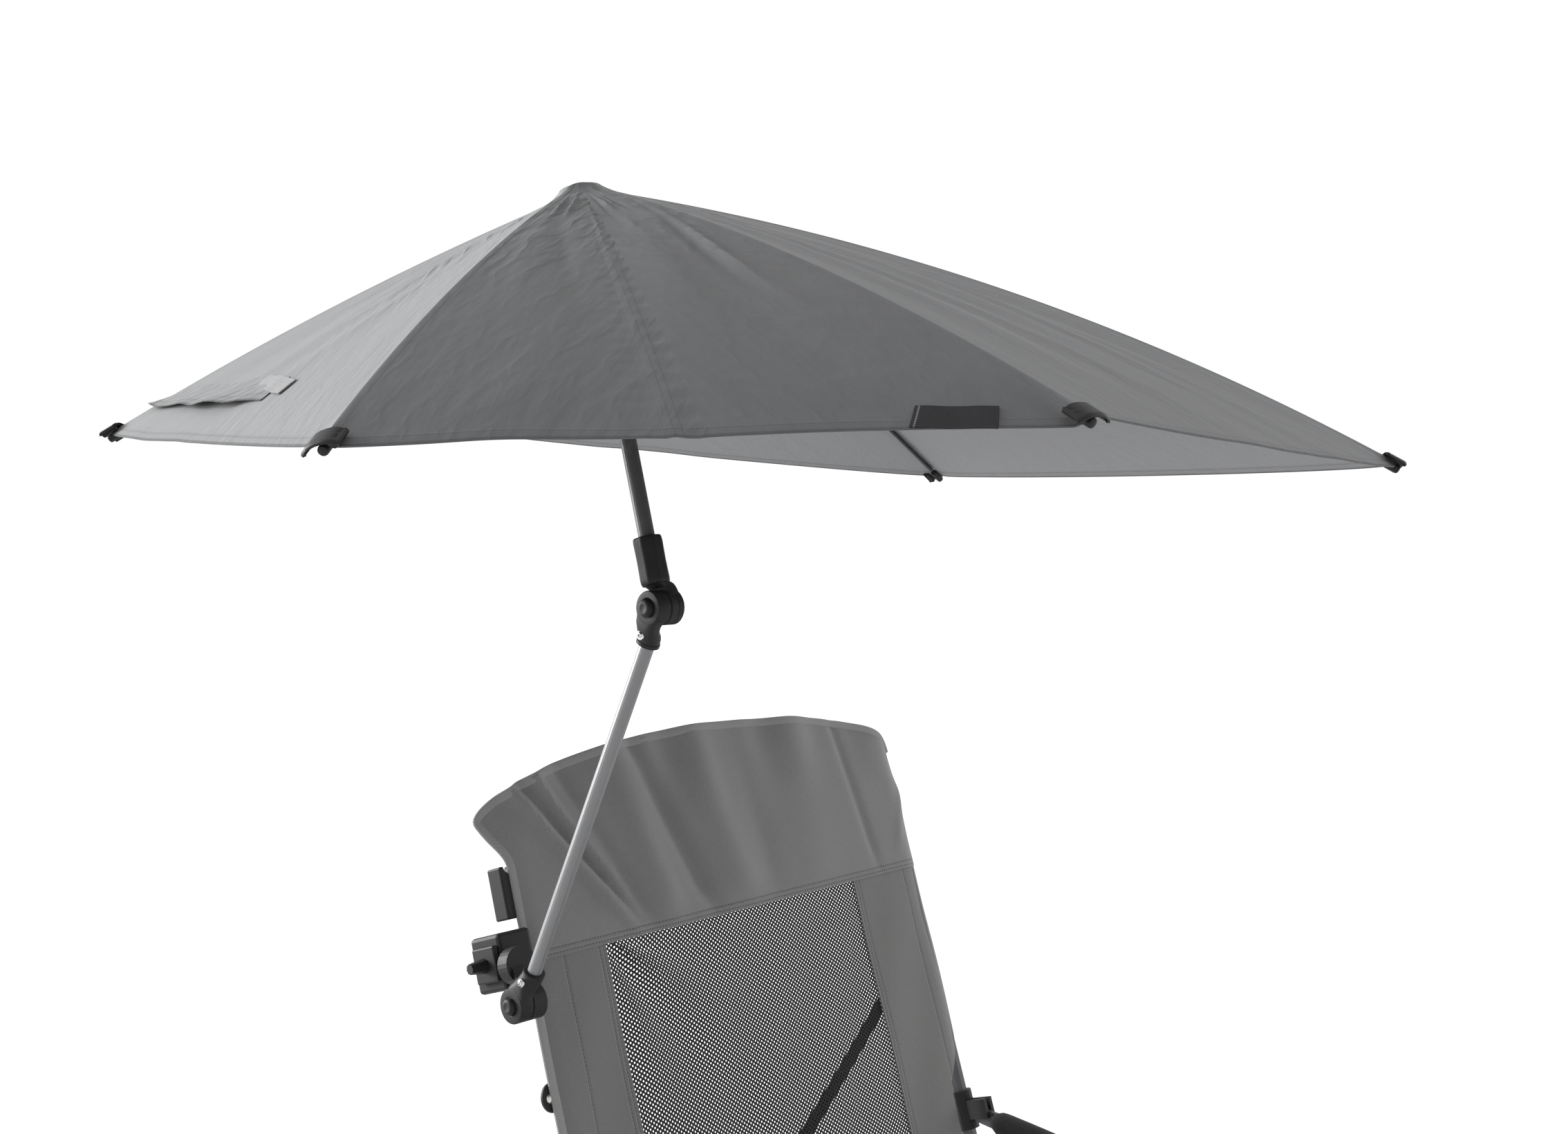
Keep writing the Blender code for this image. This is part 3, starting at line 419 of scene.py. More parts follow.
CORNER_DROP = {"a": (0.001, 0.0015), "b": (0.0025, 0.0060), "c": (0, 0.002)}
CROWN_FOLDS = (
    (1, -0.6, 0.30, 0.020), (0.8, -0.3, 0.17, 0.018), (0.9, 0.4, 0.62, 0.020), (-0.8, 0.2, 0.744, 0.024),
)
FRONT_FOLDS = (0.0034, 0.10, 0.16, 0.06), (0.0022, 0.05, 0.36, 0.04)


def unit(vectors):
    return vectors / np.linalg.norm(vectors, axis=-1, keepdims=True)


def ramp(value):
    """A value held between 0 and 1."""
    return np.clip(value, 0, 1)


def bell(value, middle, width):
    """A bell curve: 1 at its middle, 0.37 a width away."""
    return np.exp(-(((value - middle) / width) ** 2))


def slanted(folds, across, down):
    """Sum of bell curves across a sheet, each (height, slant, middle, width)."""
    return sum(height * bell(across - slant * down, middle, width) for height, slant, middle, width in folds)


def rib_frame(key):
    """Pivot, direction, hinge axis, normal, length and bow of a rib, from its tip's place below the crown."""
    x, y, drop, bow = RIB_TIPS[key]
    reach = np.array([x, y, -drop])
    outward = unit(reach - DOWN * (reach @ DOWN))
    pivot = TOP + DOWN * PIVOT_DROP + outward * HUB_R
    run = TOP + reach - pivot
    length = np.linalg.norm(run)
    along = run / length
    across = unit(np.cross(along, DOWN))
    return pivot, along, across, np.cross(along, across), length, bow


RIBS = {key: rib_frame(key) for key in RIB_KEYS}


def on_rib(key, share):
    """Points over a rib: pivot + along * place + normal * (lift + 4 bow L u (1 - u)), u = place / L."""
    pivot, along, _, normal, length, bow = RIBS[key]
    place = length * share
    high = CLOTH_LIFT + 4 * bow * length * share * (1 - share)
    return pivot + along * place[..., None] + normal * high[..., None]


def crease_sum(seed, t, share):
    """Soft creases of a cloth: bell curves across it whose middles wander outward, strongest at half way."""
    rng = np.random.default_rng(seed)
    total = np.zeros_like(t)
    for _ in range(7):
        start, drift = rng.uniform(0.15, 0.85), rng.uniform(-0.35, 0.35)
        width, height = rng.uniform(0.03, 0.09), rng.uniform(-1, 1)
        low, high = sorted(rng.uniform(0.05, 1.05, 2))
        spread = bell(share, (low + high) / 2, 0.18 + (high - low) / 2)
        total += height * spread * bell(t, start + drift * (share - 0.5), width)
    return total


def open_gore(one, two, t, share):
    """Points of a gore: straight between two ribs, hanging a little, its hem let out and softly creased.

    The gore between ribs b and c has a seam up its middle, with each half full, and a long sharp crease."""
    hang = 4 * t * (1 - t)
    drawn = share * (1 + HEM_OUT * np.sqrt(hang) * share ** 3)
    place = on_rib(one, drawn) * (1 - t)[..., None] + on_rib(two, drawn) * t[..., None]
    length = RIBS[one][4]
    rise = -GORE_SAG * hang * share * (1 - share) * length
    seed = RIB_KEYS.index(one) + 11
    rise += 0.0026 * crease_sum(seed, t, share) * hang * ramp(share * 2.5) * (1 - 0.45 * share ** 6)
    rise += 0.0016 * crease_sum(seed + 50, t * 1.6 - 0.3, share * 3.2) * hang * bell(share, 0.15, 0.11)
    if one == "b":
        half = np.where(t < MIDDLE_SEAM, t / MIDDLE_SEAM, (1 - t) / (1 - MIDDLE_SEAM))
        rise += 0.0034 * np.sin(math.pi * half) * share * (1 - 0.5 * share)
        rise += 0.0010 * bell(t, MIDDLE_SEAM, 0.010) * ramp(share * 4)
        pucker = np.sin(share * 150) * bell(t, MIDDLE_SEAM + 0.022, 0.014)
        pucker += 0.6 * np.sin(share * 190) * bell(t, 0.42, 0.02)
        rise += 0.0006 * pucker * ramp(share * 5)
        rise += 0.0024 * slanted(CROWN_FOLDS, t, share - 0.12) * bell(share, 0.13, 0.055)
        path = 0.81 + 0.06 * ((share - 0.53) / 0.25) ** 2
        crease = 0.0026 * bell(t, path, 0.014) - 0.0018 * bell(t, path - 0.04, 0.025)
        rise += crease * bell(share, 0.42, 0.20)
    if one == "c":
        rise += slanted(FRONT_FOLDS, t, share) * np.sin(math.pi * ramp(share))
    start, end = CORNER_DROP.get(one, (0.001, 0.001))
    drawn_down = start * (1 - t) ** 3 * ramp(t / 0.02) + end * t ** 3 * ramp((1 - t) / 0.02)
    place[..., 2] += rise - drawn_down * ramp((share - 0.88) / 0.12) ** 2
    return place


def from_crown(points):
    """Depth below the crown, reach from its axis and outward direction."""
    depth = (points - TOP) @ DOWN
    out = points - TOP - depth[..., None] * DOWN
    reach = np.linalg.norm(out, axis=-1)
    return depth, reach, out / reach[..., None]


def ring_drop(ring):
    """Depth of the flat ring's rim below the crown: a little uneven, lowest toward the near front corner."""
    return FLAT_DROP + 0.0011 * (1 - ring @ np.array([0.73, 0.69, 0]))


def on_gore(one, two, t, share):
    """A gore with its top: inside the hub's reach it climbs ever steeper to the rim of a flat ring.

    Depth is start + slope * (r - rim) + rest * (1 - (1 - w)**2.1), w from 0 at the rim to 1 at the foot."""
    low = HUB_ZONE / (RIBS[one][4] * (1 - t) + RIBS[two][4] * t)
    place = open_gore(one, two, t, np.maximum(share, low))
    depth, reach, ring = from_crown(open_gore(one, two, t, low))
    next_depth, next_reach, _ = from_crown(open_gore(one, two, t, low * 1.2))
    slope = (next_depth - depth) / (next_reach - reach)
    w = ramp(share / low)
    start = ring_drop(ring)
    far = FLAT_R + (reach - FLAT_R) * w
    rest = depth - start - slope * (reach - FLAT_R)
    drop = start + slope * (far - FLAT_R) + rest * (1 - (1 - w) ** 2.1)
    hub = TOP + DOWN * drop[..., None] + ring * far[..., None]
    return np.where((share < low)[..., None], hub, place)


def lengths(points, axis=0):
    """Distance run along one axis of a grid or a path of points."""
    steps = np.linalg.norm(np.diff(points, axis=axis), axis=-1)
    return np.concatenate([0 * np.take(steps, [0], axis), np.cumsum(steps, axis)], axis)


def normals(points):
    """Unit normals of a grid: the row difference crossed with the column difference."""
    cross = np.cross(np.gradient(points, axis=0), np.gradient(points, axis=1))
    return cross / np.maximum(np.linalg.norm(cross, axis=-1, keepdims=True), 1e-12)


def shell(points, thick):
    """Closed sheet round a grid: one grid half the thickness out on each side, joined round the border."""
    rows, columns = points.shape[:2]
    out = normals(points) * (np.broadcast_to(thick, points.shape[:2]) / 2)[..., None]
    count = rows * columns
    index = np.arange(count).reshape(rows, columns)
    edge = np.concatenate([index[:-1, 0], index[-1, :-1], index[:0:-1, -1], index[0, :0:-1]])
    after = np.roll(edge, -1)
    rim = np.stack([after, edge, edge + count, after + count], -1)
    faces = np.vstack([grid_faces(rows, columns), grid_faces(rows, columns, count, True), rim])
    return np.concatenate([(points + out).reshape(-1, 3), (points - out).reshape(-1, 3)]), faces


def twice(values):
    """Values of a grid's points, once for each side of its shell."""
    flat = np.asarray(values, float)
    flat = flat.reshape(-1, flat.shape[-1]) if flat.ndim == 3 else flat.reshape(-1)
    return np.concatenate([flat, flat])


def grid_area(points):
    """Area of a grid of points: half the cross product of each quad's diagonals."""
    one = points[1:, 1:] - points[:-1, :-1]
    other = points[1:, :-1] - points[:-1, 1:]
    return float(np.linalg.norm(np.cross(one, other), axis=-1).sum() / 2)


def polyester():
    """Satin polyester: fine threads both ways, faint streaks, painted light and shade in each gore's tone,
    seams and a doubled, stitched hem."""
    f, place, along, out = on_uv("canopy_cloth")
    hem, seam = f.mask("from_hem"), f.mask("from_seam")
    threads = f.noise(place, (2600, 260, 1), 1) + f.noise(place, (260, 2600, 1), 1)
    streak = f.noise(place, (60, 9, 1), 4, 0.6)
    cloud = f.noise(place, 9, 3)
    # Painted light and shade: the outside's grey moves toward the lit grey on the gores that face the light.
    outside = f.mix(shaded(CANOPY_GREY), shaded(CANOPY_PAINTED_LIT), f.mask("painted_light"))
    base = f.mix(outside, shaded(CANOPY_INSIDE), f.mask("inside"))
    tone = f.mix(base, rgb(0.20, 0.203, 0.207), (streak * 0.6 + cloud * 0.4) * 0.14)
    tone = f.mix(tone, rgb(0.05, 0.05, 0.052), threads.above(0.95, 0.2) * 0.12)
    doubled = hem.bright_near(0.0, 0.0085, 0.0006)
    edge = hem.bright_near(0.0, 0.0014, 0.0008)
    tone = f.mix(tone, rgb(0.045, 0.046, 0.048), doubled * 0.10 + edge * 0.6)
    tone = f.mix(tone, rgb(0.03, 0.03, 0.03), seam.bright_near(0.0, 0.0003, 0.0004) * 0.22)
    stitch = hem.bright_near(0.0072, 0.0002, 0.0003) * along.repeated(0.0026, 0.3, 0.1)
    sewn = seam.bright_near(0.0046, 0.0002, 0.0003) * out.repeated(0.0026, 0.3, 0.1)
    tone = f.mix(tone, rgb(0.05, 0.05, 0.052), (stitch * 0.6 + sewn * 0.25).clamped())
    ridge = seam.bright_near(0.0, 0.0040, 0.0006)
    height = threads * 0.00004 + doubled * 0.0002 + ridge * 0.0001 - (stitch + sewn) * 0.0001
    crinkle = f.noise(place, (70, 26, 1), 4, 0.62)
    gathered = 1 - out.math("DIVIDE", 0.22, clamp=True)
    sharp = 1 - ((f.noise(place, (46, 17, 1), 2, 0.5) - 0.5).math("ABSOLUTE") * 9).clamped()
    height = height + f.noise(place, (26, 8, 1), 2, 0.5) * 0.0022 + crinkle * 0.0010
    height = height + sharp * (gathered * 0.0020 + 0.00035)
    return f.wear(
        Base_Color=tone, Roughness=cloud * 0.10 + 0.62, Normal=f.bump(height, 1.0, 0.55), Sheen_Weight=0.03,
        Sheen_Roughness=0.5, Specular_IOR_Level=0.15,
    )


canopy_cloth = polyester()
NEIGHBOUR = {key: RIB_KEYS[(k + 1) % 6] for k, key in enumerate(RIB_KEYS)}
BEFORE = {key: RIB_KEYS[k - 1] for k, key in enumerate(RIB_KEYS)}


def sector_grid(key, sides, share):
    """Cloth over one rib: sides from -0.5 to 0.5 are the half gores before and after it."""
    before = on_gore(BEFORE[key], key, 1 + np.minimum(sides, 0), share)
    after = on_gore(key, NEIGHBOUR[key], np.maximum(sides, 0), share)
    return np.where((sides < 0)[..., None], before, after)


def cloth_masks(from_hem, from_seam, painted_light, lined=True):
    """What the canopy's cloth reads at each point of a shell; its second side is the inside when lined."""
    count = np.size(from_hem)
    return {
        # The third mask is painted light and shade: each point's share of the canopy's lit grey.
        "from_hem": twice(from_hem), "from_seam": twice(from_seam), "painted_light": np.resize(painted_light, 2 * count),
        "inside": np.repeat([0.0, float(lined)], count),
    }


def fold_with_rib(made):
    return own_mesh(made)


def canopy_sector(key):
    length = RIBS[key][4]
    rows = np.concatenate([np.linspace(0, 0.055, 14), np.linspace(0.055, 1, ROWS)[1:]])
    ease = np.linspace(-1, 1, 2 * HALF_COLUMNS + 1)
    columns = 0.5 * np.sign(ease) * np.abs(ease) ** 1.25
    share, sides = np.meshgrid(rows, columns, indexing="ij")
    points = sector_grid(key, sides, share)
    outward = lengths(points)
    from_middle = np.linalg.norm(points - points[:, HALF_COLUMNS:HALF_COLUMNS + 1], axis=-1)
    width = from_middle * np.sign(sides)
    from_hem = outward[-1] - outward
    from_seam = np.abs(width)
    verts, faces = shell(points, CLOTH_T + 0.0005 * (from_hem < HEM_W) + 0.0004 * (from_seam < SEAM_W))
    if key == "b":
        seam_column = int(np.argmin(np.abs(columns - MIDDLE_SEAM)))
        from_seam = np.minimum(from_seam, np.abs(width - width[:, seam_column:seam_column + 1]))
    # Each half gore takes the painted light and shade tone of its own gore.
    masks = cloth_masks(from_hem, from_seam, np.where(sides < 0, PAINTED_GORE_LIGHT[BEFORE[key]], PAINTED_GORE_LIGHT[key]))
    uv = twice(np.stack([width, outward], -1))
    made = make(f"canopy_{key}", verts, faces, canopy_cloth, f"rib_{key}", uv, masks)
    wide = float(from_middle[-1, 0] + from_middle[-1, -1])
    area = min(grid_area(points), wide * length)
    fold_with_rib(made)
    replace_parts(made, "canopy")


for key in RIB_KEYS:
    canopy_sector(key)


# Crown: a flat ring of cloth under a thin black disc, which is screwed down on the pole's end.

INNER_R = 0.0074
INNER_DROP = 0.0019


def crown_ring_cloth():
    """Ring of cloth from under the disc out to the rim where the gores begin, as deep as they are there."""
    t = np.linspace(0, 1, 17)[:-1]
    rim = np.concatenate([on_gore(key, NEIGHBOUR[key], t, 0 * t) for key in RIB_KEYS])
    depth, reach, ring = from_crown(rim)
    w = np.linspace(0, 1, 9)[:, None]
    far = INNER_R + (reach + 0.0002 - INNER_R) * w
    drop = INNER_DROP + (depth - 0.0003 - INNER_DROP) * w ** 2
    top = TOP + DOWN * drop[..., None] + ring * far[..., None]
    top = np.concatenate([top, top[:, :1]], axis=1)
    verts, faces = shell(top, CLOTH_T)
    run = np.broadcast_to(np.linspace(0, 0.1, top.shape[1]), top.shape[:2])
    out = np.concatenate([far, far[:, :1]], axis=1)
    apart = np.full(top.shape[:2], 0.05)
    uv = twice(np.stack([run, out], -1))
    # The crown's cloth takes a painted light tone halfway between the shaded and the lit grey.
    made = make("crown_cloth", verts, faces, canopy_cloth, "head", uv, cloth_masks(apart, apart, 0.5))
    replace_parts(made, "canopy")
    grid_area(top)


def turned_about(origin, axis, profile, sides=40):
    """A profile of (distance, radius) pairs turned about an axis through an origin."""
    axis = np.asarray(axis, float)
    one = unit(np.cross(axis, (0.3, 0.5, 0.9)))
    other = np.cross(axis, one)
    turn = np.linspace(0, 2 * math.pi, sides, endpoint=False)
    ring = np.cos(turn)[:, None] * one + np.sin(turn)[:, None] * other
    run, radius = np.transpose(profile)
    return (np.asarray(origin, float) + axis * run[:, None])[:, None] + ring[None] * radius[:, None, None]


def together(*grids):
    """Several closed tubes of points as one mesh."""
    points = []
    faces = []
    for grid in grids:
        first = sum(len(p) for p in points)
        faces += [[i + first for i in face] for face in closed_tube(grid)]
        points.append(grid.reshape(-1, 3))
    return np.concatenate(points), faces


def closed_tube(points):
    """Faces of a tube of points with both ends closed, turned outwards."""
    rows, columns = points.shape[:2]
    index = np.arange(rows * columns).reshape(rows, columns)
    faces = grid_faces(rows, columns, 0, False, True).tolist()
    faces.append(index[0].tolist())
    faces.append(index[-1, ::-1].tolist())
    half = rows // 2
    middle = points[half].mean(axis=0)
    step = points[half, 0] - points[half - 1, 0]
    turn = points[half, 1] - points[half, 0]
    if np.cross(step, turn) @ (points[half, 0] - middle) < 0:
        faces = [face[::-1] for face in faces]
    return faces


def stand_in(name, node, finish, body, *grids, smooth=True):
    """One piece made of closed tubes of points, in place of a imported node."""
    points, faces = together(*grids)
    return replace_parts(make(name, points, faces, finish, body, smooth=smooth), node)


def crown_disc():
    """Pressed disc: thin rim, shallow dome and a dimple in the middle."""
    profile = [
        (0, 0.0001), (-0.0002, 0.0022), (-0.0005, 0.0040), (-0.0003, 0.0080), (0, 0.0095),
        (0.0003, 0.0098), (0.0010, 0.0098), (0.0013, 0.0092), (0.0013, 0.0001),
    ]
    stand_in("crown_disc", "crown_cap", nylon, "head", turned_about(TOP, DOWN, profile, 56))


crown_ring_cloth()
crown_disc()


# Sewn on the canopy: the vent's flap and the stitched patch that ends it, and a label left blank.

FAR_STITCH = 0.0538


def sewn_on(name, one, two, t, share, lift, thick, finish, rib):
    """A small sheet lying on a gore at its own height, folding with one rib."""
    points = on_gore(one, two, t, share)
    points = points + normals(points) * (lift + CLOTH_T / 2 + thick / 2)[..., None]
    verts, faces = shell(points, thick)
    u, v = lengths(points, 1), lengths(points)
    # A sewn-on sheet takes the painted light and shade tone of the gore it lies on.
    masks = cloth_masks(v[-1] - v, np.ones_like(v), PAINTED_GORE_LIGHT[one], lined=False)
    made = make(name, verts, faces, finish, f"rib_{rib}", twice(np.stack([u, v], -1)), masks)
    fold_with_rib(made)
    tall, area = float(v.max()), grid_area(points)


def vent_flap():
    """Vent between ribs a and b: its upper edge is sewn down, its free edge stands off in slow waves."""
    w, t = spans((0, 1, 22), (0.006, 0.60, 120))
    upper = 0.806 + 0.062 * np.exp(-t / 0.05) + 0.004 * np.sin(t * 9)
    free = 0.903 + 0.006 * np.sin(t * 19 + 0.6) - 0.022 * ramp((t - 0.48) / 0.12)
    edge = 0.0024 + 0.0048 * bell(t, 0.40, 0.10) + 0.0020 * (bell(t, 0.22, 0.05) + bell(t, 0.02, 0.03))
    lift = 0.0003 + w ** 1.4 * edge * np.clip((0.60 - t) / 0.08, 0.05, 1)
    sewn_on("vent_flap", "a", "b", t, upper + (free - upper) * w, lift, CLOTH_T, canopy_cloth, "a")


def crossed_stitching():
    """The canopy's cloth under rows of slanting stitches, which hold the end of the vent down."""
    f, place, u, v = on_uv("stitched_patch")
    zigzag = ((u / 0.004).fraction() - 0.5).math("ABSOLUTE") * 0.010
    rows = (v - zigzag).repeated(0.0042, 0.09, 0.08)
    # Painted light: the patch starts from the canopy's lit grey, as it lies on a gore that faces the light.
    pale = f.mix(shaded(CANOPY_PAINTED_LIT), rgb(0.13, 0.13, 0.133), f.noise(place, 300, 3))
    tone = f.mix(pale, rgb(0.30, 0.30, 0.305), rows * 0.7)
    return f.wear(Base_Color=tone, Roughness=0.6, Normal=f.bump(rows * 0.0004, 1.0, 0.8))


def vent_patch():
    w, t = spans((0, 1, 14), (0.475, 0.655, 40))
    share = 0.792 + 0.022 * (t - 0.475) / 0.18 + 0.046 * w
    lift = 0.0006 + 0.0002 * np.sin(t * 90) * w
    sewn_on("vent_patch", "a", "b", t, share, lift, 0.0008, crossed_stitching(), "b")


def label_cloth():
    """Black satin ribbon, left blank, with a row of stitches near each end."""
    f, place, u, v = on_uv("blank_label")
    thread = f.noise(place, (300, 3000, 1), 2)
    dash = v.repeated(0.0016, 0.25, 0.15)
    ends = (u.bright_near(0.0022, 0.0003, 0.0003) + u.bright_near(FAR_STITCH, 0.0003, 0.0003)) * dash
    tone = f.mix(rgb(0.010, 0.010, 0.011), rgb(0.03, 0.03, 0.032), thread)
    tone = f.mix(tone, rgb(0.16, 0.16, 0.165), ends.clamped())
    return f.wear(
        Base_Color=tone, Roughness=0.7, Normal=f.bump(thread * 0.0002 - ends * 0.0003, 1.0, 0.6),
        Specular_IOR_Level=0.12,
    )


def blank_label():
    w, across = spans((0, 1, 14), (0, 1, 50))
    t = 0.790 + 0.112 * across - 0.034 * w
    share = 0.958 + 0.006 * across + 0.041 * w
    lift = 0.0003 + 0.0003 * np.sin(across * 8 + 1)
    sewn_on("blank_label", "b", "c", t, share, lift, 0.0006, label_cloth(), "c")


vent_flap()
vent_patch()
blank_label()


# Tip caps: a black saddle moulded over each corner of the cloth, on a round barrel that takes the rib's end.
# The saddle's long way lies across the rib, its ends curl down, and each end has a ribbed recess.

SADDLE_HALF = 0.0118
SADDLE_BACK = 0.0088
SADDLE_AHEAD = 0.0048
SLOT_SIDE = {"b": 1, "c": -1}
BARREL = [
    (-0.0096, 0.0001), (-0.0095, 0.0024), (-0.0088, 0.0031), (0.0030, 0.0031), (0.0040, 0.0028),
    (0.0045, 0.0017), (0.0046, 0.0001),
]
LUG = [(-0.0080, 0.0001), (-0.0078, 0.0017), (0.0036, 0.0019), (0.0042, 0.0013), (0.0043, 0.0001)]


def tip_saddle(key):
    """A plate whose height falls with the sideways distance to a power, on a round barrel and a lug."""
    pivot, along, across, normal, length, bow = RIBS[key]
    slope = math.atan(4 * bow)
    ahead = along * math.cos(slope) - normal * math.sin(slope)
    up = normal * math.cos(slope) + along * math.sin(slope)
    seat = pivot + along * length + normal * 0.0008
    v, u = spans((-1, 1, 30), (-1, 1, 54))
    corner = (1 - np.abs(v) ** 7) ** (1 / 7)
    side = SADDLE_HALF * np.sin(u * math.pi / 2) * (0.90 + 0.10 * corner)
    middle = (SADDLE_AHEAD - SADDLE_BACK) / 2
    half = (SADDLE_AHEAD + SADDLE_BACK) / 2
    reach = middle + half * np.sin(v * math.pi / 2) * (1 - 0.12 * np.abs(np.sin(u * math.pi / 2)) ** 6)
    wide = np.abs(side) / SADDLE_HALF
    high = 0.0040 - 0.0040 * wide ** 2.6 - 0.0010 * ramp((v - 0.6) / 0.4) ** 2
    bead = bell(wide, 0.93, 0.04) + bell(np.abs(v), 0.95, 0.05)
    slot = side / SADDLE_HALF * SLOT_SIDE.get(key, 1)
    recess = ramp(1 - np.abs(slot - 0.74) / 0.09) ** 0.3 * ramp((0.55 - np.abs(v)) / 0.08)
    high = high + 0.0003 * bead - 0.0007 * recess + 0.0005 * recess * (np.sin(v * 14 + slot * 20) > 0)
    points = seat + ahead * reach[..., None] + across * side[..., None] + up * high[..., None]
    if np.cross(points[1, 0] - points[0, 0], points[0, 1] - points[0, 0]) @ up < 0:
        points = points[:, ::-1]
    plate, plate_faces = shell(points, 0.0023)
    barrel = turned_about(seat - up * 0.0012, ahead, BARREL, 24)
    lug = turned_about(seat + across * 0.0078 * SLOT_SIDE.get(key, 1) - up * 0.0002, ahead, LUG, 16)
    round_parts, round_faces = together(barrel, lug)
    faces = plate_faces.tolist() + [[i + len(plate) for i in face] for face in round_faces]
    made = make(f"tip_saddle_{key}", np.concatenate([plate, round_parts]), faces, nylon, f"rib_{key}")
    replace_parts(made, f"tip_cap_{key}")


for key in RIB_KEYS:
    tip_saddle(key)


# Hinges of the arm: each is two round halves on one bolt, with a push button that frees the teeth.
# The arm's sockets taper from a half into a round mouth that grips the tube, with a cap screw through it.

LOWER_HINGE = np.array([ARM_X, 0.0308, 0.856])
ARM_LEAN = math.radians(26.57)
ARM_UP = np.array([0, -math.sin(ARM_LEAN), math.cos(ARM_LEAN)])
ARM_L = 0.3444
UPPER_HINGE = LOWER_HINGE + ARM_UP * ARM_L
BUTTON_R = 0.0064
SLEEVE_LOW = 0.0165
SLEEVE_L = 0.034
SLEEVE_R = 0.0103
SCREW_SEAT = np.array([-0.0099, 0, 0])
SCREW_UP = 0.0215
RIGHT = np.array([1.0, 0, 0])


def superellipse(count, power):
    """Both coordinates of points round a superellipse with half axes of 1."""
    turn = np.linspace(0, 2 * math.pi, count, endpoint=False)
    return [np.sign(wave) * np.abs(wave) ** (2 / power) for wave in (np.cos(turn), np.sin(turn))]


def lofted(origin, up, sections):
    """Superellipse sections along up, each (height, X middle, half depth along X, half width, power)."""
    height, middle, deep, wide, power = np.transpose(sections)[..., None]
    c, s = superellipse(44, power)
    x = (middle + c * deep)[..., None]
    return origin + RIGHT * x + np.cross(up, RIGHT) * (s * wide)[..., None] + up * height[..., None]


def arm_socket(name, hinge, up, radius, node):
    """Drum with a button bore, and a neck that moves over from the drum's middle to the tube's axis."""
    bore = BUTTON_R + 0.0004
    drum = turned_about(hinge, RIGHT, [
        (-0.00015, 0.0001), (-0.00015, radius - 0.0008), (-0.0008, radius), (-0.0112, radius),
        (-0.0122, radius - 0.0005), (-0.0125, radius - 0.0015), (-0.0125, bore + 0.0007), (-0.0119, bore),
        (-0.0026, bore), (-0.0026, 0.0001),
    ], 56)
    neck = lofted(hinge, up, [
        (0.0040, -0.0064, 0.0058, radius * 0.90, 4.5), (0.0080, -0.0064, 0.0058, radius * 0.84, 4.5),
        (0.0112, -0.0064, 0.0058, radius * 0.76, 4.2), (0.0142, -0.0060, 0.0061, 0.0091, 3.6),
        (0.0170, -0.0046, 0.0070, 0.0085, 3.0), (0.0200, -0.0026, 0.0080, 0.0083, 2.6),
        (0.0235, -0.0010, 0.0083, 0.0082, 2.3), (0.0268, -0.0002, 0.0080, 0.0080, 2.1),
        (0.0272, 0, 0.0086, 0.0086, 2), (0.0296, 0, 0.0086, 0.0086, 2), (0.0300, 0, 0.0080, 0.0080, 2),
        (0.0300, 0, 0.0060, 0.0060, 2),
    ])
    stand_in(name, node, nylon, "arm", drum, neck)


def push_button(name, hinge, body, node):
    """Domed button: rounded shoulder, shallow dish, and a foot inside the bore."""
    profile = [
        (-0.0062, 0.0001), (-0.0062, BUTTON_R), (-0.0132, BUTTON_R), (-0.0150, BUTTON_R - 0.0003),
        (-0.0160, BUTTON_R - 0.0012), (-0.0165, BUTTON_R - 0.0024), (-0.0164, 0.0030), (-0.0160, 0.0016),
        (-0.0160, 0.0001),
    ]
    stand_in(name, node, nylon, body, turned_about(hinge, RIGHT, profile))


def cap_screw(name, place, body, node):
    """Pressed washer under a domed head with a round socket."""
    washer = [(-0.0006, 0.0035), (0.0004, 0.0035), (0.0008, 0.0032), (0.0008, 0.0024), (0.0002, 0.0022)]
    head = [
        (0, 0.0024), (0.0010, 0.0024), (0.0017, 0.0019), (0.0019, 0.0014), (0.0019, 0.0012), (0.0009, 0.0011),
    ]
    washer, head = turned_about(place, -RIGHT, washer), turned_about(place, -RIGHT, head, 36)
    stand_in(name, node, zinc, body, washer, head)


def pole_knuckle():
    """The pole's half of the upper hinge: a larger drum, and a short neck up into the sleeve."""
    radius = 0.0126
    drum = turned_about(UPPER_HINGE, RIGHT, [
        (0.00015, 0.0001), (0.00015, radius - 0.0008), (0.0008, radius), (0.0062, radius),
        (0.0064, radius - 0.0004), (0.0068, radius - 0.0004), (0.0070, radius), (0.0112, radius),
        (0.0124, radius - 0.0011), (0.0125, 0.0001),
    ], 56)
    neck = lofted(UPPER_HINGE, -DOWN, [
        (0.004, 0.0064, 0.0058, radius * 0.88, 4.5), (0.0100, 0.0064, 0.0058, radius * 0.80, 4.2),
        (0.0132, 0.0058, 0.0064, 0.0092, 3.4), (0.0150, 0.0040, 0.0080, 0.0090, 2.8),
        (0.0163, 0.0020, 0.0088, 0.0090, 2.4), (0.0163, 0.0020, 0.0080, 0.0080, 2.4),
    ])
    stand_in("pole_hinge_half", "pole_knuckle", nylon, "head", drum, neck)


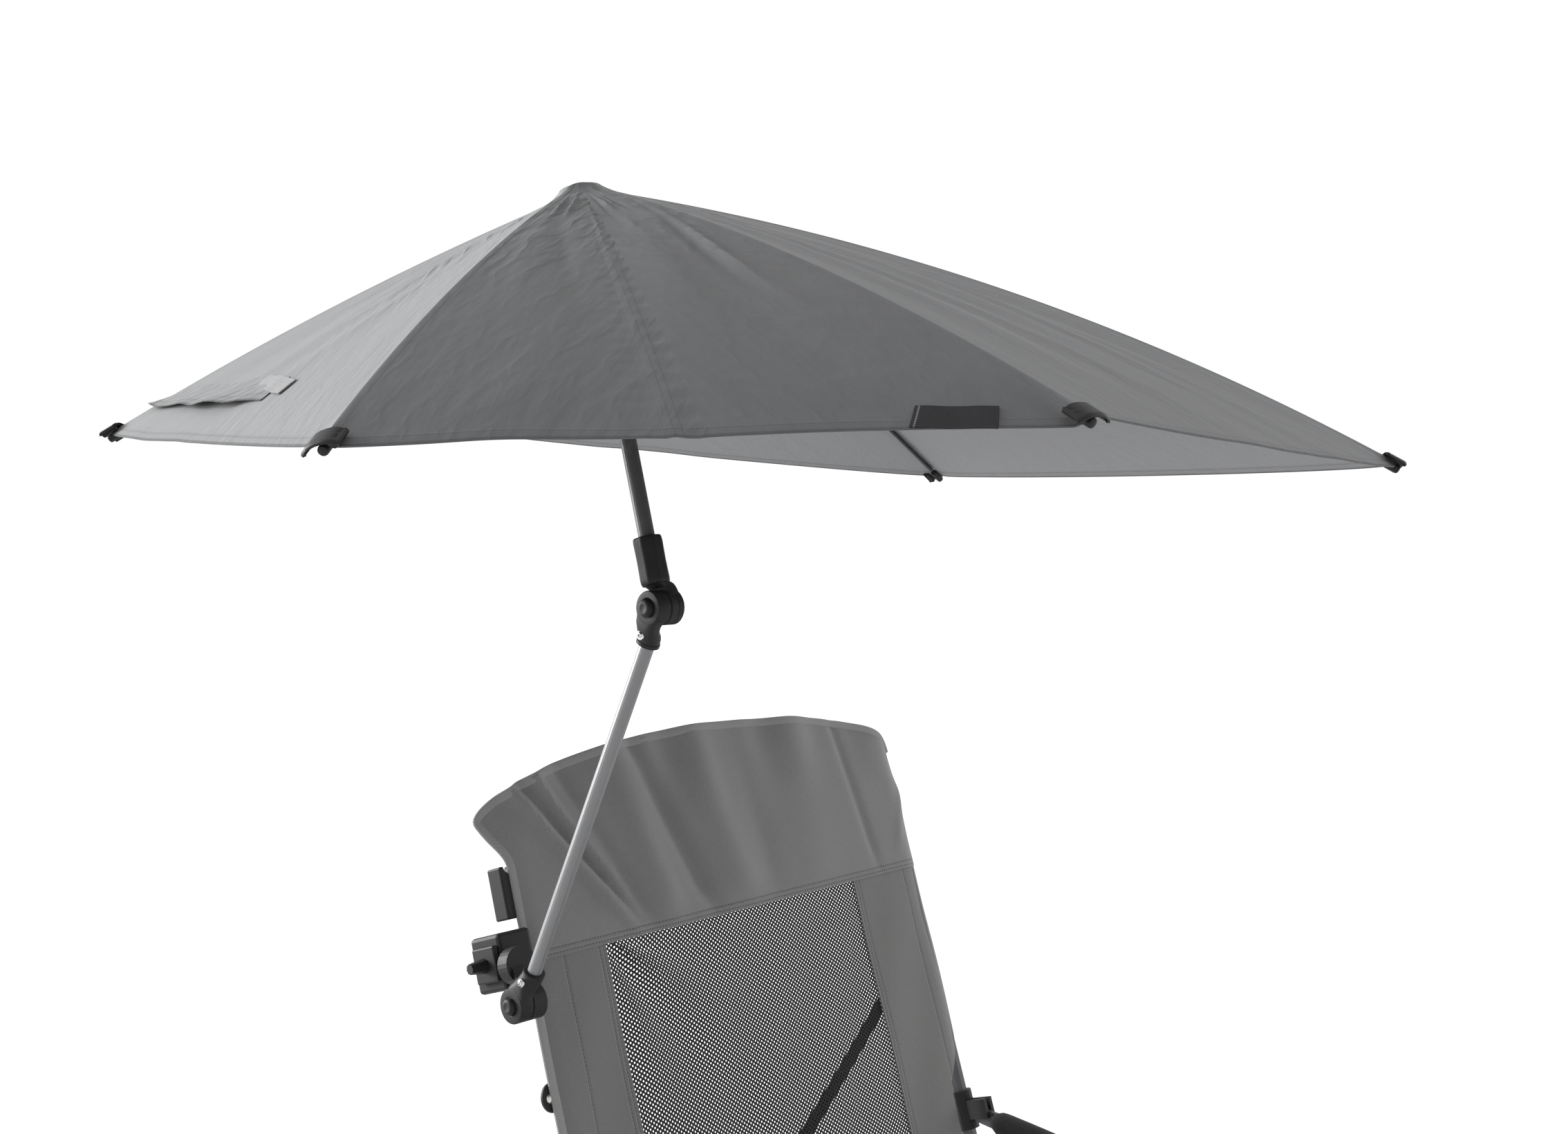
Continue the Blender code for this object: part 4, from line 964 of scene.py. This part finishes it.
def pole_sleeve():
    """Eight-sided grip with soft corners: sections of a rounded octagon, drawn in at both ends."""
    turn = np.linspace(0, 2 * math.pi, 96, endpoint=False)
    flat = np.minimum(1 / np.cos((turn + math.pi / 8) % (math.pi / 4) - math.pi / 8), 1.055)
    place, size = np.transpose([
        (0, 0.30), (0, 0.90), (0.015, 0.955), (0.05, 0.985), (0.11, 1), (0.3, 0.985), (0.5, 0.975),
        (0.7, 0.985), (0.89, 1), (0.95, 0.985), (0.985, 0.955), (1, 0.90), (1, 0.30),
    ])[..., None]
    ring = np.cos(turn)[:, None] * RIGHT + np.sin(turn)[:, None] * np.cross(-DOWN, RIGHT)
    axis = UPPER_HINGE - DOWN * (SLEEVE_LOW + SLEEVE_L * place)
    points = axis[:, None] + ring[None] * (SLEEVE_R * size * flat)[..., None]
    stand_in("pole_sleeve", "sleeve_grip", nylon, "head", points)


arm_socket("arm_socket_low", LOWER_HINGE, ARM_UP, 0.0135, "lower_socket")
arm_socket("arm_socket_high", UPPER_HINGE, -ARM_UP, 0.0122, "upper_socket")
push_button("button_low", LOWER_HINGE, "lower_button", "lower_button")
push_button("button_high", UPPER_HINGE, "upper_button", "upper_button")
cap_screw("screw_low", LOWER_HINGE + ARM_UP * SCREW_UP + SCREW_SEAT, "arm", "lower_screw")
cap_screw("screw_high", UPPER_HINGE - ARM_UP * SCREW_UP + SCREW_SEAT, "arm", "upper_screw")
pole_knuckle()
pole_sleeve()


# Back: woven grey cloth between the rear posts, with an arched headrest, a black net window and a bound edge.
# It is sewn from flat pieces: the headrest lies over the side strips, and every seam is stitched twice.

POST_TOP = 0.978
POST_BEND = 0.60
BEND_REACH = 0.03
POST_LEAN = math.radians(18)
SIDE_SPAN = 0.465
PANEL_AHEAD = 0.0083
PANEL_T = 0.0022
BAND = 0.112
ARCH = 0.051
PANEL_FOOT = 0.44
LEAN_LENGTH = (POST_TOP - POST_BEND) / math.cos(POST_LEAN)
PANEL_LENGTH = LEAN_LENGTH + POST_BEND - PANEL_FOOT
WINDOW_LOW = PANEL_LENGTH - 0.055
WINDOW_NEAR = 0.058
WINDOW_FAR = 0.372
CLOTH_GREY = (0.112, 0.112, 0.110)
BINDING_GREY = (0.22, 0.22, 0.218)
HEADREST_GREY = (0.136, 0.136, 0.134)
NET_BLACK = (0.012, 0.012, 0.013)
NET_ACROSS = 4.8
NET_DOWN = 4.0
NET_HOLE = 0.80
NET_LAP = 0.004
STITCH = 0.0030
NEAR_SEAM = 0.014
FAR_SEAM = 0.447
HEAD_LIFT = 0.0009
FRONT = (0, -math.cos(POST_LEAN), math.sin(POST_LEAN))
HEAD_FOLDS = (
    (0.0062, 0.25, 0.122, 0.018), (-0.0066, 0.38, 0.165, 0.012), (0.0056, 0.24, 0.215, 0.022),
    (-0.0016, 0.1, 0.262, 0.014), (0.0018, -0.1, 0.330, 0.030), (-0.0022, 0.14, 0.405, 0.006),
)
CORNER_PULLS = (
    (0.0044, 0.78, 0.006, 0.007), (-0.0036, 0.78, 0.021, 0.007), (0.0036, 0.66, 0.034, 0.006),
    (-0.0030, 0.5, 0.060, 0.008),
)


def post_y(z):
    """How far back the post line is: upright to the bend, a parabola through it, then leaning."""
    rise = np.clip(z - POST_BEND + BEND_REACH, 0, None)
    return math.tan(POST_LEAN) * np.where(rise > 2 * BEND_REACH, z - POST_BEND, rise ** 2 / (4 * BEND_REACH))


def on_back(x, down, ahead):
    """Points across and down the post line from the panel's corners, a distance ahead of the posts' axes."""
    leaning = POST_TOP - down * math.cos(POST_LEAN)
    z = np.where(down < LEAN_LENGTH, leaning, POST_BEND - (down - LEAN_LENGTH))
    slope = (post_y(z + BEND_REACH) - post_y(z - BEND_REACH)) / (2 * BEND_REACH)
    size = np.sqrt(1 + slope ** 2)
    return np.stack([x + 0 * z, post_y(z) - ahead / size, z + ahead * slope / size], -1)


def panel_edges(down):
    """Near and far edge of the panel: the headrest's corners stand out, and below the arms it draws in."""
    ear = ramp(1 - down / 0.040)
    ear = ear * ear * (3 - 2 * ear)
    drawn = ramp((down - 0.285) / 0.043)
    near = -0.020 - 0.018 * ear + 0.042 * drawn
    far = 0.475 - 0.005 * ear - 0.032 * drawn
    return near, far


def panel_relief(x, down):
    """How far the cloth stands ahead of its plane: upright folds in the headrest, slanting pulls at its near
    corner, crumpled corners, a slow ripple below, and both edges turned back round the posts."""
    head = ramp((BAND + 0.012 - down) / 0.035)
    folds = slanted(HEAD_FOLDS, x, down - 0.05) + slanted(CORNER_PULLS, x, down)
    top = (0.0026 * np.sin(x * 58 + 1) + 0.0016 * np.sin(x * 101)) * ramp((0.03 - down) / 0.06)
    slack = 0.0020 * np.sin(math.pi * ramp(x / SIDE_SPAN))
    ripple = 0.0008 * np.sin(x * 80 + down * 34) * ramp((down - BAND) / 0.05)
    turned = 0.010 * (ramp(-0.004 - x) / 0.034) ** 1.6 + 0.008 * (ramp(x - 0.452) / 0.023) ** 2
    corner = ramp((x - 0.36) / 0.08) + ramp((0.10 - x) / 0.08)
    crumple = 0.0022 * crease_sum(5, x / SIDE_SPAN * 2.4 % 1, down / BAND * 0.9 + 0.1) * corner
    crumple += 0.0010 * crease_sum(8, x / SIDE_SPAN, down / BAND)
    return (1.25 * folds + crumple) * head + top + slack + ripple - turned


def woven(name, colour, *seams):
    """Thick polyester weave: heathered threads both ways, and rows of stitches at places of the UV map."""
    f, place, u, v = on_uv(name)
    warp = f.noise(place, (1500, 150, 1), 2, 0.6)
    weft = f.noise(place, (150, 1500, 1), 2, 0.6)
    heather = f.noise(place, 420, 3, 0.7)
    tone = f.mix(shaded(colour, 0.72), shaded(colour, 1.35), (warp + weft) * 0.5)
    tone = f.mix(tone, shaded(colour, 1.25), heather.above(0.5, 0.25) * 0.5)
    tone = f.mix(tone, shaded(colour, 0.85), f.noise(place, 14, 3) * 0.5)
    height = (warp + weft) * 0.00018
    marks = 0
    for axis, middle in seams:
        across, along = (v, u) if axis == "v" else (u, v)
        sewn = across.bright_near(middle, 0.00035, 0.0003) * along.repeated(0.0031, 0.28, 0.12)
        height = height - across.bright_near(middle, 0.0009, 0.0012) * 0.0005 + sewn * 0.0004
        marks = marks + sewn
    tone = f.mix(tone, rgb(0.045, 0.045, 0.046), marks.clamped() * 0.85)
    relief = f.bump(height, 1.0, 0.8)
    return f.wear(Base_Color=tone, Roughness=0.86, Normal=relief, Sheen_Weight=0.15, Sheen_Roughness=0.5)


def fold_with_chair(made):
    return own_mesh(made)


def back_piece(name, node, across, down, finish, lift=0.0, thick=PANEL_T, relief=1.0):
    """A flat-cut piece of the back: a grid on the panel's plane with its relief, as a closed sheet."""
    ahead = PANEL_AHEAD + thick / 2 + lift + relief * panel_relief(across, down)
    points = on_back(across, down, ahead)
    verts, faces = shell(points, thick)
    made = make(name, verts, faces, finish, "near_side", twice(np.stack([across, down], -1)))
    fold_with_chair(made)
    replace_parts(made, node)
    wide, tall, area = float(np.ptp(across)), float(np.ptp(down)), grid_area(points)


def arch_height(share):
    """Rise of the top edge from -1 to 1 across: fuller toward the far corner."""
    return ARCH * ramp(1 - share ** 2) ** np.where(share > 0, 0.46, 0.6)


def headrest():
    """Grid whose columns run between the edges and whose rows run from the arch down to the band's seam."""
    row, share = spans((0, 1, 45), (-1, 1, 171))
    down = (BAND + 0.006) * row
    near, far = panel_edges(down)
    across = near + (far - near) * (share + 1) / 2
    down = down - arch_height(share) * ramp(1 - down / BAND)
    cloth = woven("headrest_cloth", HEADREST_GREY, ("v", BAND - 0.001), ("v", BAND + 0.0032))
    back_piece("headrest", "back_panel", across, down, cloth, HEAD_LIFT)


def strips():
    """Side strips from the headrest's seam to the foot, and the foot strip between them under the window."""
    down, share = spans((BAND - 0.004, PANEL_LENGTH, 130), (0, 1, 30))
    near, far = panel_edges(down)
    for name, first, last, hem, step, seam in (
        ("near_strip", near, WINDOW_NEAR, WINDOW_NEAR, -STITCH, NEAR_SEAM),
        ("far_strip", WINDOW_FAR, far, WINDOW_FAR, STITCH, FAR_SEAM),
    ):
        cloth = woven(f"{name}_cloth", CLOTH_GREY, ("u", hem + step), ("u", hem + 2.4 * step), ("u", seam))
        back_piece(name, "back_panel", first + (last - first) * share, down, cloth)
    down, across = spans((WINDOW_LOW, PANEL_LENGTH, 20), (WINDOW_NEAR, WINDOW_FAR, 80))
    cloth = woven("foot_cloth", CLOTH_GREY, ("v", WINDOW_LOW + STITCH), ("v", WINDOW_LOW + 2.4 * STITCH))
    back_piece("foot_strip", "back_panel", across, down, cloth)


def netting():
    """Black sports net: round holes on a diamond lattice, wider across than down. Lengths in millimetres."""
    f, place, u, v = on_uv("netting")
    u = u * 1000 / NET_ACROSS
    v = v * 1000 / NET_DOWN
    one = (u + v).fraction() - 0.5
    other = (u - v).fraction() - 0.5
    x = (one + other) * (NET_ACROSS / 2)
    y = (one - other) * (NET_DOWN / 2)
    reach = (x * x + y * y).math("SQRT")
    solid = reach.above(NET_HOLE, 0.12)
    yarn = f.noise(place, 1800, 2)
    tone = f.mix(shaded(NET_BLACK), rgb(0.022, 0.022, 0.023), yarn)
    relief = f.bump((reach * 0.3).math("MINIMUM", 0.5) + yarn * 0.1, 0.0006, 0.6)
    return f.wear(Base_Color=tone, Roughness=0.7, Normal=relief, Alpha=solid, Specular_IOR_Level=0.12)


def window_net():
    down, across = spans(
        (BAND - 0.002, WINDOW_LOW + NET_LAP, 70), (WINDOW_NEAR - NET_LAP, WINDOW_FAR + NET_LAP, 60)
    )
    x, y = across - WINDOW_NEAR, down - BAND
    fan = np.sin(11 * np.arctan2(y + 0.01, x + 0.01)) * np.exp(-np.hypot(x, y) / 0.13)
    inset = ramp(np.minimum(np.minimum(x, WINDOW_FAR - across), y) / 0.02)
    lift = 0.0004 + 0.0042 * fan * inset
    back_piece("window_net", "back_mesh", across, down, netting(), lift, 0.0004, 0.6)


headrest()
strips()
window_net()


# Anchor plate: a thin black ear beside the near post, round at its outer end, under one domed rivet.
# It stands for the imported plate, inside the same box.

EAR_DOWN = 0.2222
EAR_MIDDLE = -0.0190
EAR_HALF = 0.0115
EAR_INNER = -0.0084
EAR_REACH = 0.0105
RIVET_X = -0.0222
RIVET = [
    (-0.0005, 0.0038), (0.0002, 0.0038), (0.0009, 0.0034), (0.0015, 0.0025), (0.0019, 0.0013),
    (0.0020, 0.0001),
]


def anchor_plate():
    """The ear is a half ellipse with a straight inner side; the rivet is a low dome ahead of it."""
    turn = np.linspace(-math.pi / 2, math.pi / 2, 25)
    x = np.concatenate([[EAR_INNER], EAR_MIDDLE - EAR_REACH * np.cos(turn), [EAR_INNER]])
    drop = EAR_HALF * np.concatenate([[-1], np.sin(turn), [1]])
    size = np.array([0.96, 1, 1, 0.95])[:, None]
    ahead = np.array([0.0031, 0.0034, 0.0056, 0.0060])[:, None]
    ear = on_back(EAR_MIDDLE + (x - EAR_MIDDLE) * size, EAR_DOWN + drop * size, ahead)
    stand_in("anchor_ear", "anchor_plate", nylon, "near_side", ear, smooth=False)
    seat = on_back(np.array(RIVET_X), np.array(EAR_DOWN), np.array(0.0060))
    dome = turned_about(seat, FRONT, RIVET)
    make("anchor_rivet", dome, closed_tube(dome), zinc, "near_side")


anchor_plate()


# Binding: a light twill tape folded over the headrest's arch and down the near edge of the back.
# Strap: flat black webbing behind the net, from the far post down to the near one.

BINDING_INSET = 0.0015
WEBBING_BLACK = (0.016, 0.016, 0.017)
STRAP_TOP = (0.457, 0.785)
STRAP_LOW = (0.008, 0.535)


def twill(name, colour, slant=0.0016, contrast=1.0):
    """Narrow woven tape: slanting twill ribs, darker between them, under a fine fuzz."""
    f, place, u, v = on_uv(name)
    rib = (u + v).repeated(slant, 0.2, 0.3)
    fuzz = f.noise(place, 900, 3, 0.7)
    tone = f.mix(shaded(colour, 1 - 0.5 * contrast), shaded(colour, 1.12), rib)
    tone = f.mix(tone, shaded(colour, 0.8), fuzz * 0.4)
    return f.wear(
        Base_Color=tone, Roughness=0.8, Normal=f.bump(rib * 0.00025 + fuzz * 0.0001, 1.0, 0.7),
        Specular_IOR_Level=0.2,
    )


def taped(name, path, wide, thick, finish, body, front):
    """A tape carried along a path, its flat side to the front, its UV map in metres across and along.

    Its section is a superellipse: path + a * side + b * up, side = tangent crossed with front."""
    run = unit(np.gradient(path, axis=0))
    side = unit(np.cross(run, front))
    up = np.cross(side, run)
    a, b = superellipse(20, 3.0)
    a, b = a * wide / 2, b * thick / 2
    points = path[:, None] + side[:, None] * a[:, None] + up[:, None] * b[:, None]
    uv = np.stack(np.broadcast_arrays(a, lengths(path)[:, None]), -1)
    return make(name, points, closed_tube(points), finish, body, uv)


def binding():
    share = np.sin(np.linspace(-math.pi / 2, math.pi / 2, 160))
    near, far = panel_edges(np.zeros_like(share))
    x = near + (far - near) * (share + 1) / 2
    down = np.linspace(0.272, 0.004, 80)
    across = np.concatenate([panel_edges(down)[0] + BINDING_INSET, x])
    drop = np.concatenate([down, BINDING_INSET - arch_height(share)])
    keep = np.concatenate([[True], np.hypot(np.diff(across), np.diff(drop)) > 0.0006])
    across, drop = across[keep], drop[keep]
    ahead = PANEL_AHEAD + PANEL_T / 2 + HEAD_LIFT + panel_relief(across, drop)
    path = on_back(across, drop, ahead)
    for _ in range(3):
        path[1:-1] = (path[:-2] + 2 * path[1:-1] + path[2:]) / 4
    tape = twill("binding_twill", BINDING_GREY)
    fold_with_chair(taped("edge_binding", path, 0.0080, 0.0040, tape, "near_side", FRONT))


def carry_strap():
    """Webbing on a shallow parabola between the posts, 14 millimetres behind their axes."""
    share = np.linspace(0, 1, 80)
    x = STRAP_TOP[0] + (STRAP_LOW[0] - STRAP_TOP[0]) * share
    z = STRAP_TOP[1] + (STRAP_LOW[1] - STRAP_TOP[1]) * share - 0.040 * share * (1 - share)
    path = np.stack([x, post_y(z) + 0.014, z], -1)
    webbing = twill("webbing", WEBBING_BLACK, 0.0022, 0.6)
    made = taped("webbing_strap", path, 0.014, 0.0016, webbing, "near_side", (0, -1, 0.2))
    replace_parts(made, "carry_strap")
    fold_with_chair(made)
    length = float(lengths(path)[-1])


binding()
carry_strap()


# Seat: a sling of the back's cloth, its sides sewn into sleeves round the two seat rails.
# It hangs slack between them, with a turned hem at the front and the rear.

SEAT_INSET = 0.035
SEAT_REACH = 0.395
RAIL_TOP = 0.407
SEAT_SAG = 0.028
SEAT_LIFT = 0.00245
SEAT_T = 0.0024
SEAT_FRONT = -0.365
SEAT_REAR = -0.075
SEAT_DEEP = SEAT_REAR - SEAT_FRONT
HEM_SEAM = 0.010
RAIL_SEAM = 0.020


def seat_sling():
    """Grid over the rails: a parabola between them, with soft ripples that die out at the rails."""
    along, share = spans((0, 1, 70), (0, 1, 90))
    hang = 4 * share * (1 - share)
    x = SEAT_INSET + SEAT_REACH * share
    y = SEAT_FRONT + SEAT_DEEP * along
    z = RAIL_TOP + SEAT_LIFT - SEAT_SAG * hang
    z = z + hang * (0.0012 * np.sin(share * 21 + along * 3) + 0.0010 * np.sin(along * 17 + share * 5))
    points = np.stack([x, y, z], -1)
    verts, faces = shell(points, SEAT_T)
    cloth = woven(
        "seat_cloth", CLOTH_GREY, ("v", SEAT_FRONT + HEM_SEAM), ("v", SEAT_REAR - HEM_SEAM),
        ("u", SEAT_INSET + RAIL_SEAM), ("u", SEAT_INSET + SEAT_REACH - RAIL_SEAM),
    )
    made = make("seat_cloth", verts, faces, cloth, "near_rail", twice(np.stack([x, y], -1)))
    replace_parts(made, "seat_sling")
    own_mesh(made)
    area = grid_area(points)


seat_sling()


# Armrests: black foam sleeves pushed over the ends of the front leg tubes, closed-cell and slightly dented.
# They stop short of the leg's bend and of the bracket on the rear post.

FOAM_BLACK = (0.013, 0.013, 0.013)
FOAM_R = 0.0118


def foam_finish():
    """Closed-cell foam: small pores, larger soft dents and a dusty bloom."""
    f = Finish("arm_foam")
    place = f.place()
    pores = f.node("TexVoronoi", {"feature": "DISTANCE_TO_EDGE"}, {"Vector": place, "Scale": 1100})
    dents = f.noise(place, 70, 3)
    bloom = f.noise(place, 200, 4, 0.7)
    tone = f.mix(shaded(FOAM_BLACK), rgb(0.035, 0.035, 0.035), bloom)
    return f.wear(Base_Color=tone, Roughness=0.93, Normal=f.bump(pores * 0.0003 + dents * 0.0006, 1.0, 0.7))


foam = foam_finish()


def arm_sleeve(side, body):
    """Sleeve along its node's box from rear to front: a round profile whose radius is slightly uneven."""
    low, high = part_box(f"{side}_arm_foam")
    middle_x = (low[0] + high[0]) / 2
    rear = np.array([middle_x, high[1], high[2] - FOAM_R])
    front = np.array([middle_x, low[1], low[2] + FOAM_R])
    if abs((high[2] - low[2]) - 2 * FOAM_R) < 0.004:
        front[2] = rear[2]
    share = np.linspace(0, 1, 60)
    path = rear + (front - rear) * share[:, None]
    turn = np.linspace(0, 2 * math.pi, 32, endpoint=False)
    ends = 1 - 0.28 * np.exp(-share / 0.012) - 0.28 * np.exp(-(1 - share) / 0.012)
    uneven = 1 + 0.012 * np.sin(share[:, None] * 23 + 2 * turn) - 0.01 * np.cos(share[:, None] * 9)
    run = unit(front - rear)
    across = unit(np.cross(run, (0, 0, 1)))
    up = np.cross(across, run)
    ring = np.cos(turn)[:, None] * across + np.sin(turn)[:, None] * up
    points = path[:, None] + ring[None] * (FOAM_R * ends[:, None] * uneven)[..., None]
    made = make(f"{side}_arm_sleeve", points, closed_tube(points), foam, body)
    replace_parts(made, f"{side}_arm_foam")


arm_sleeve("near", "near_side")
arm_sleeve("far", "far_side")
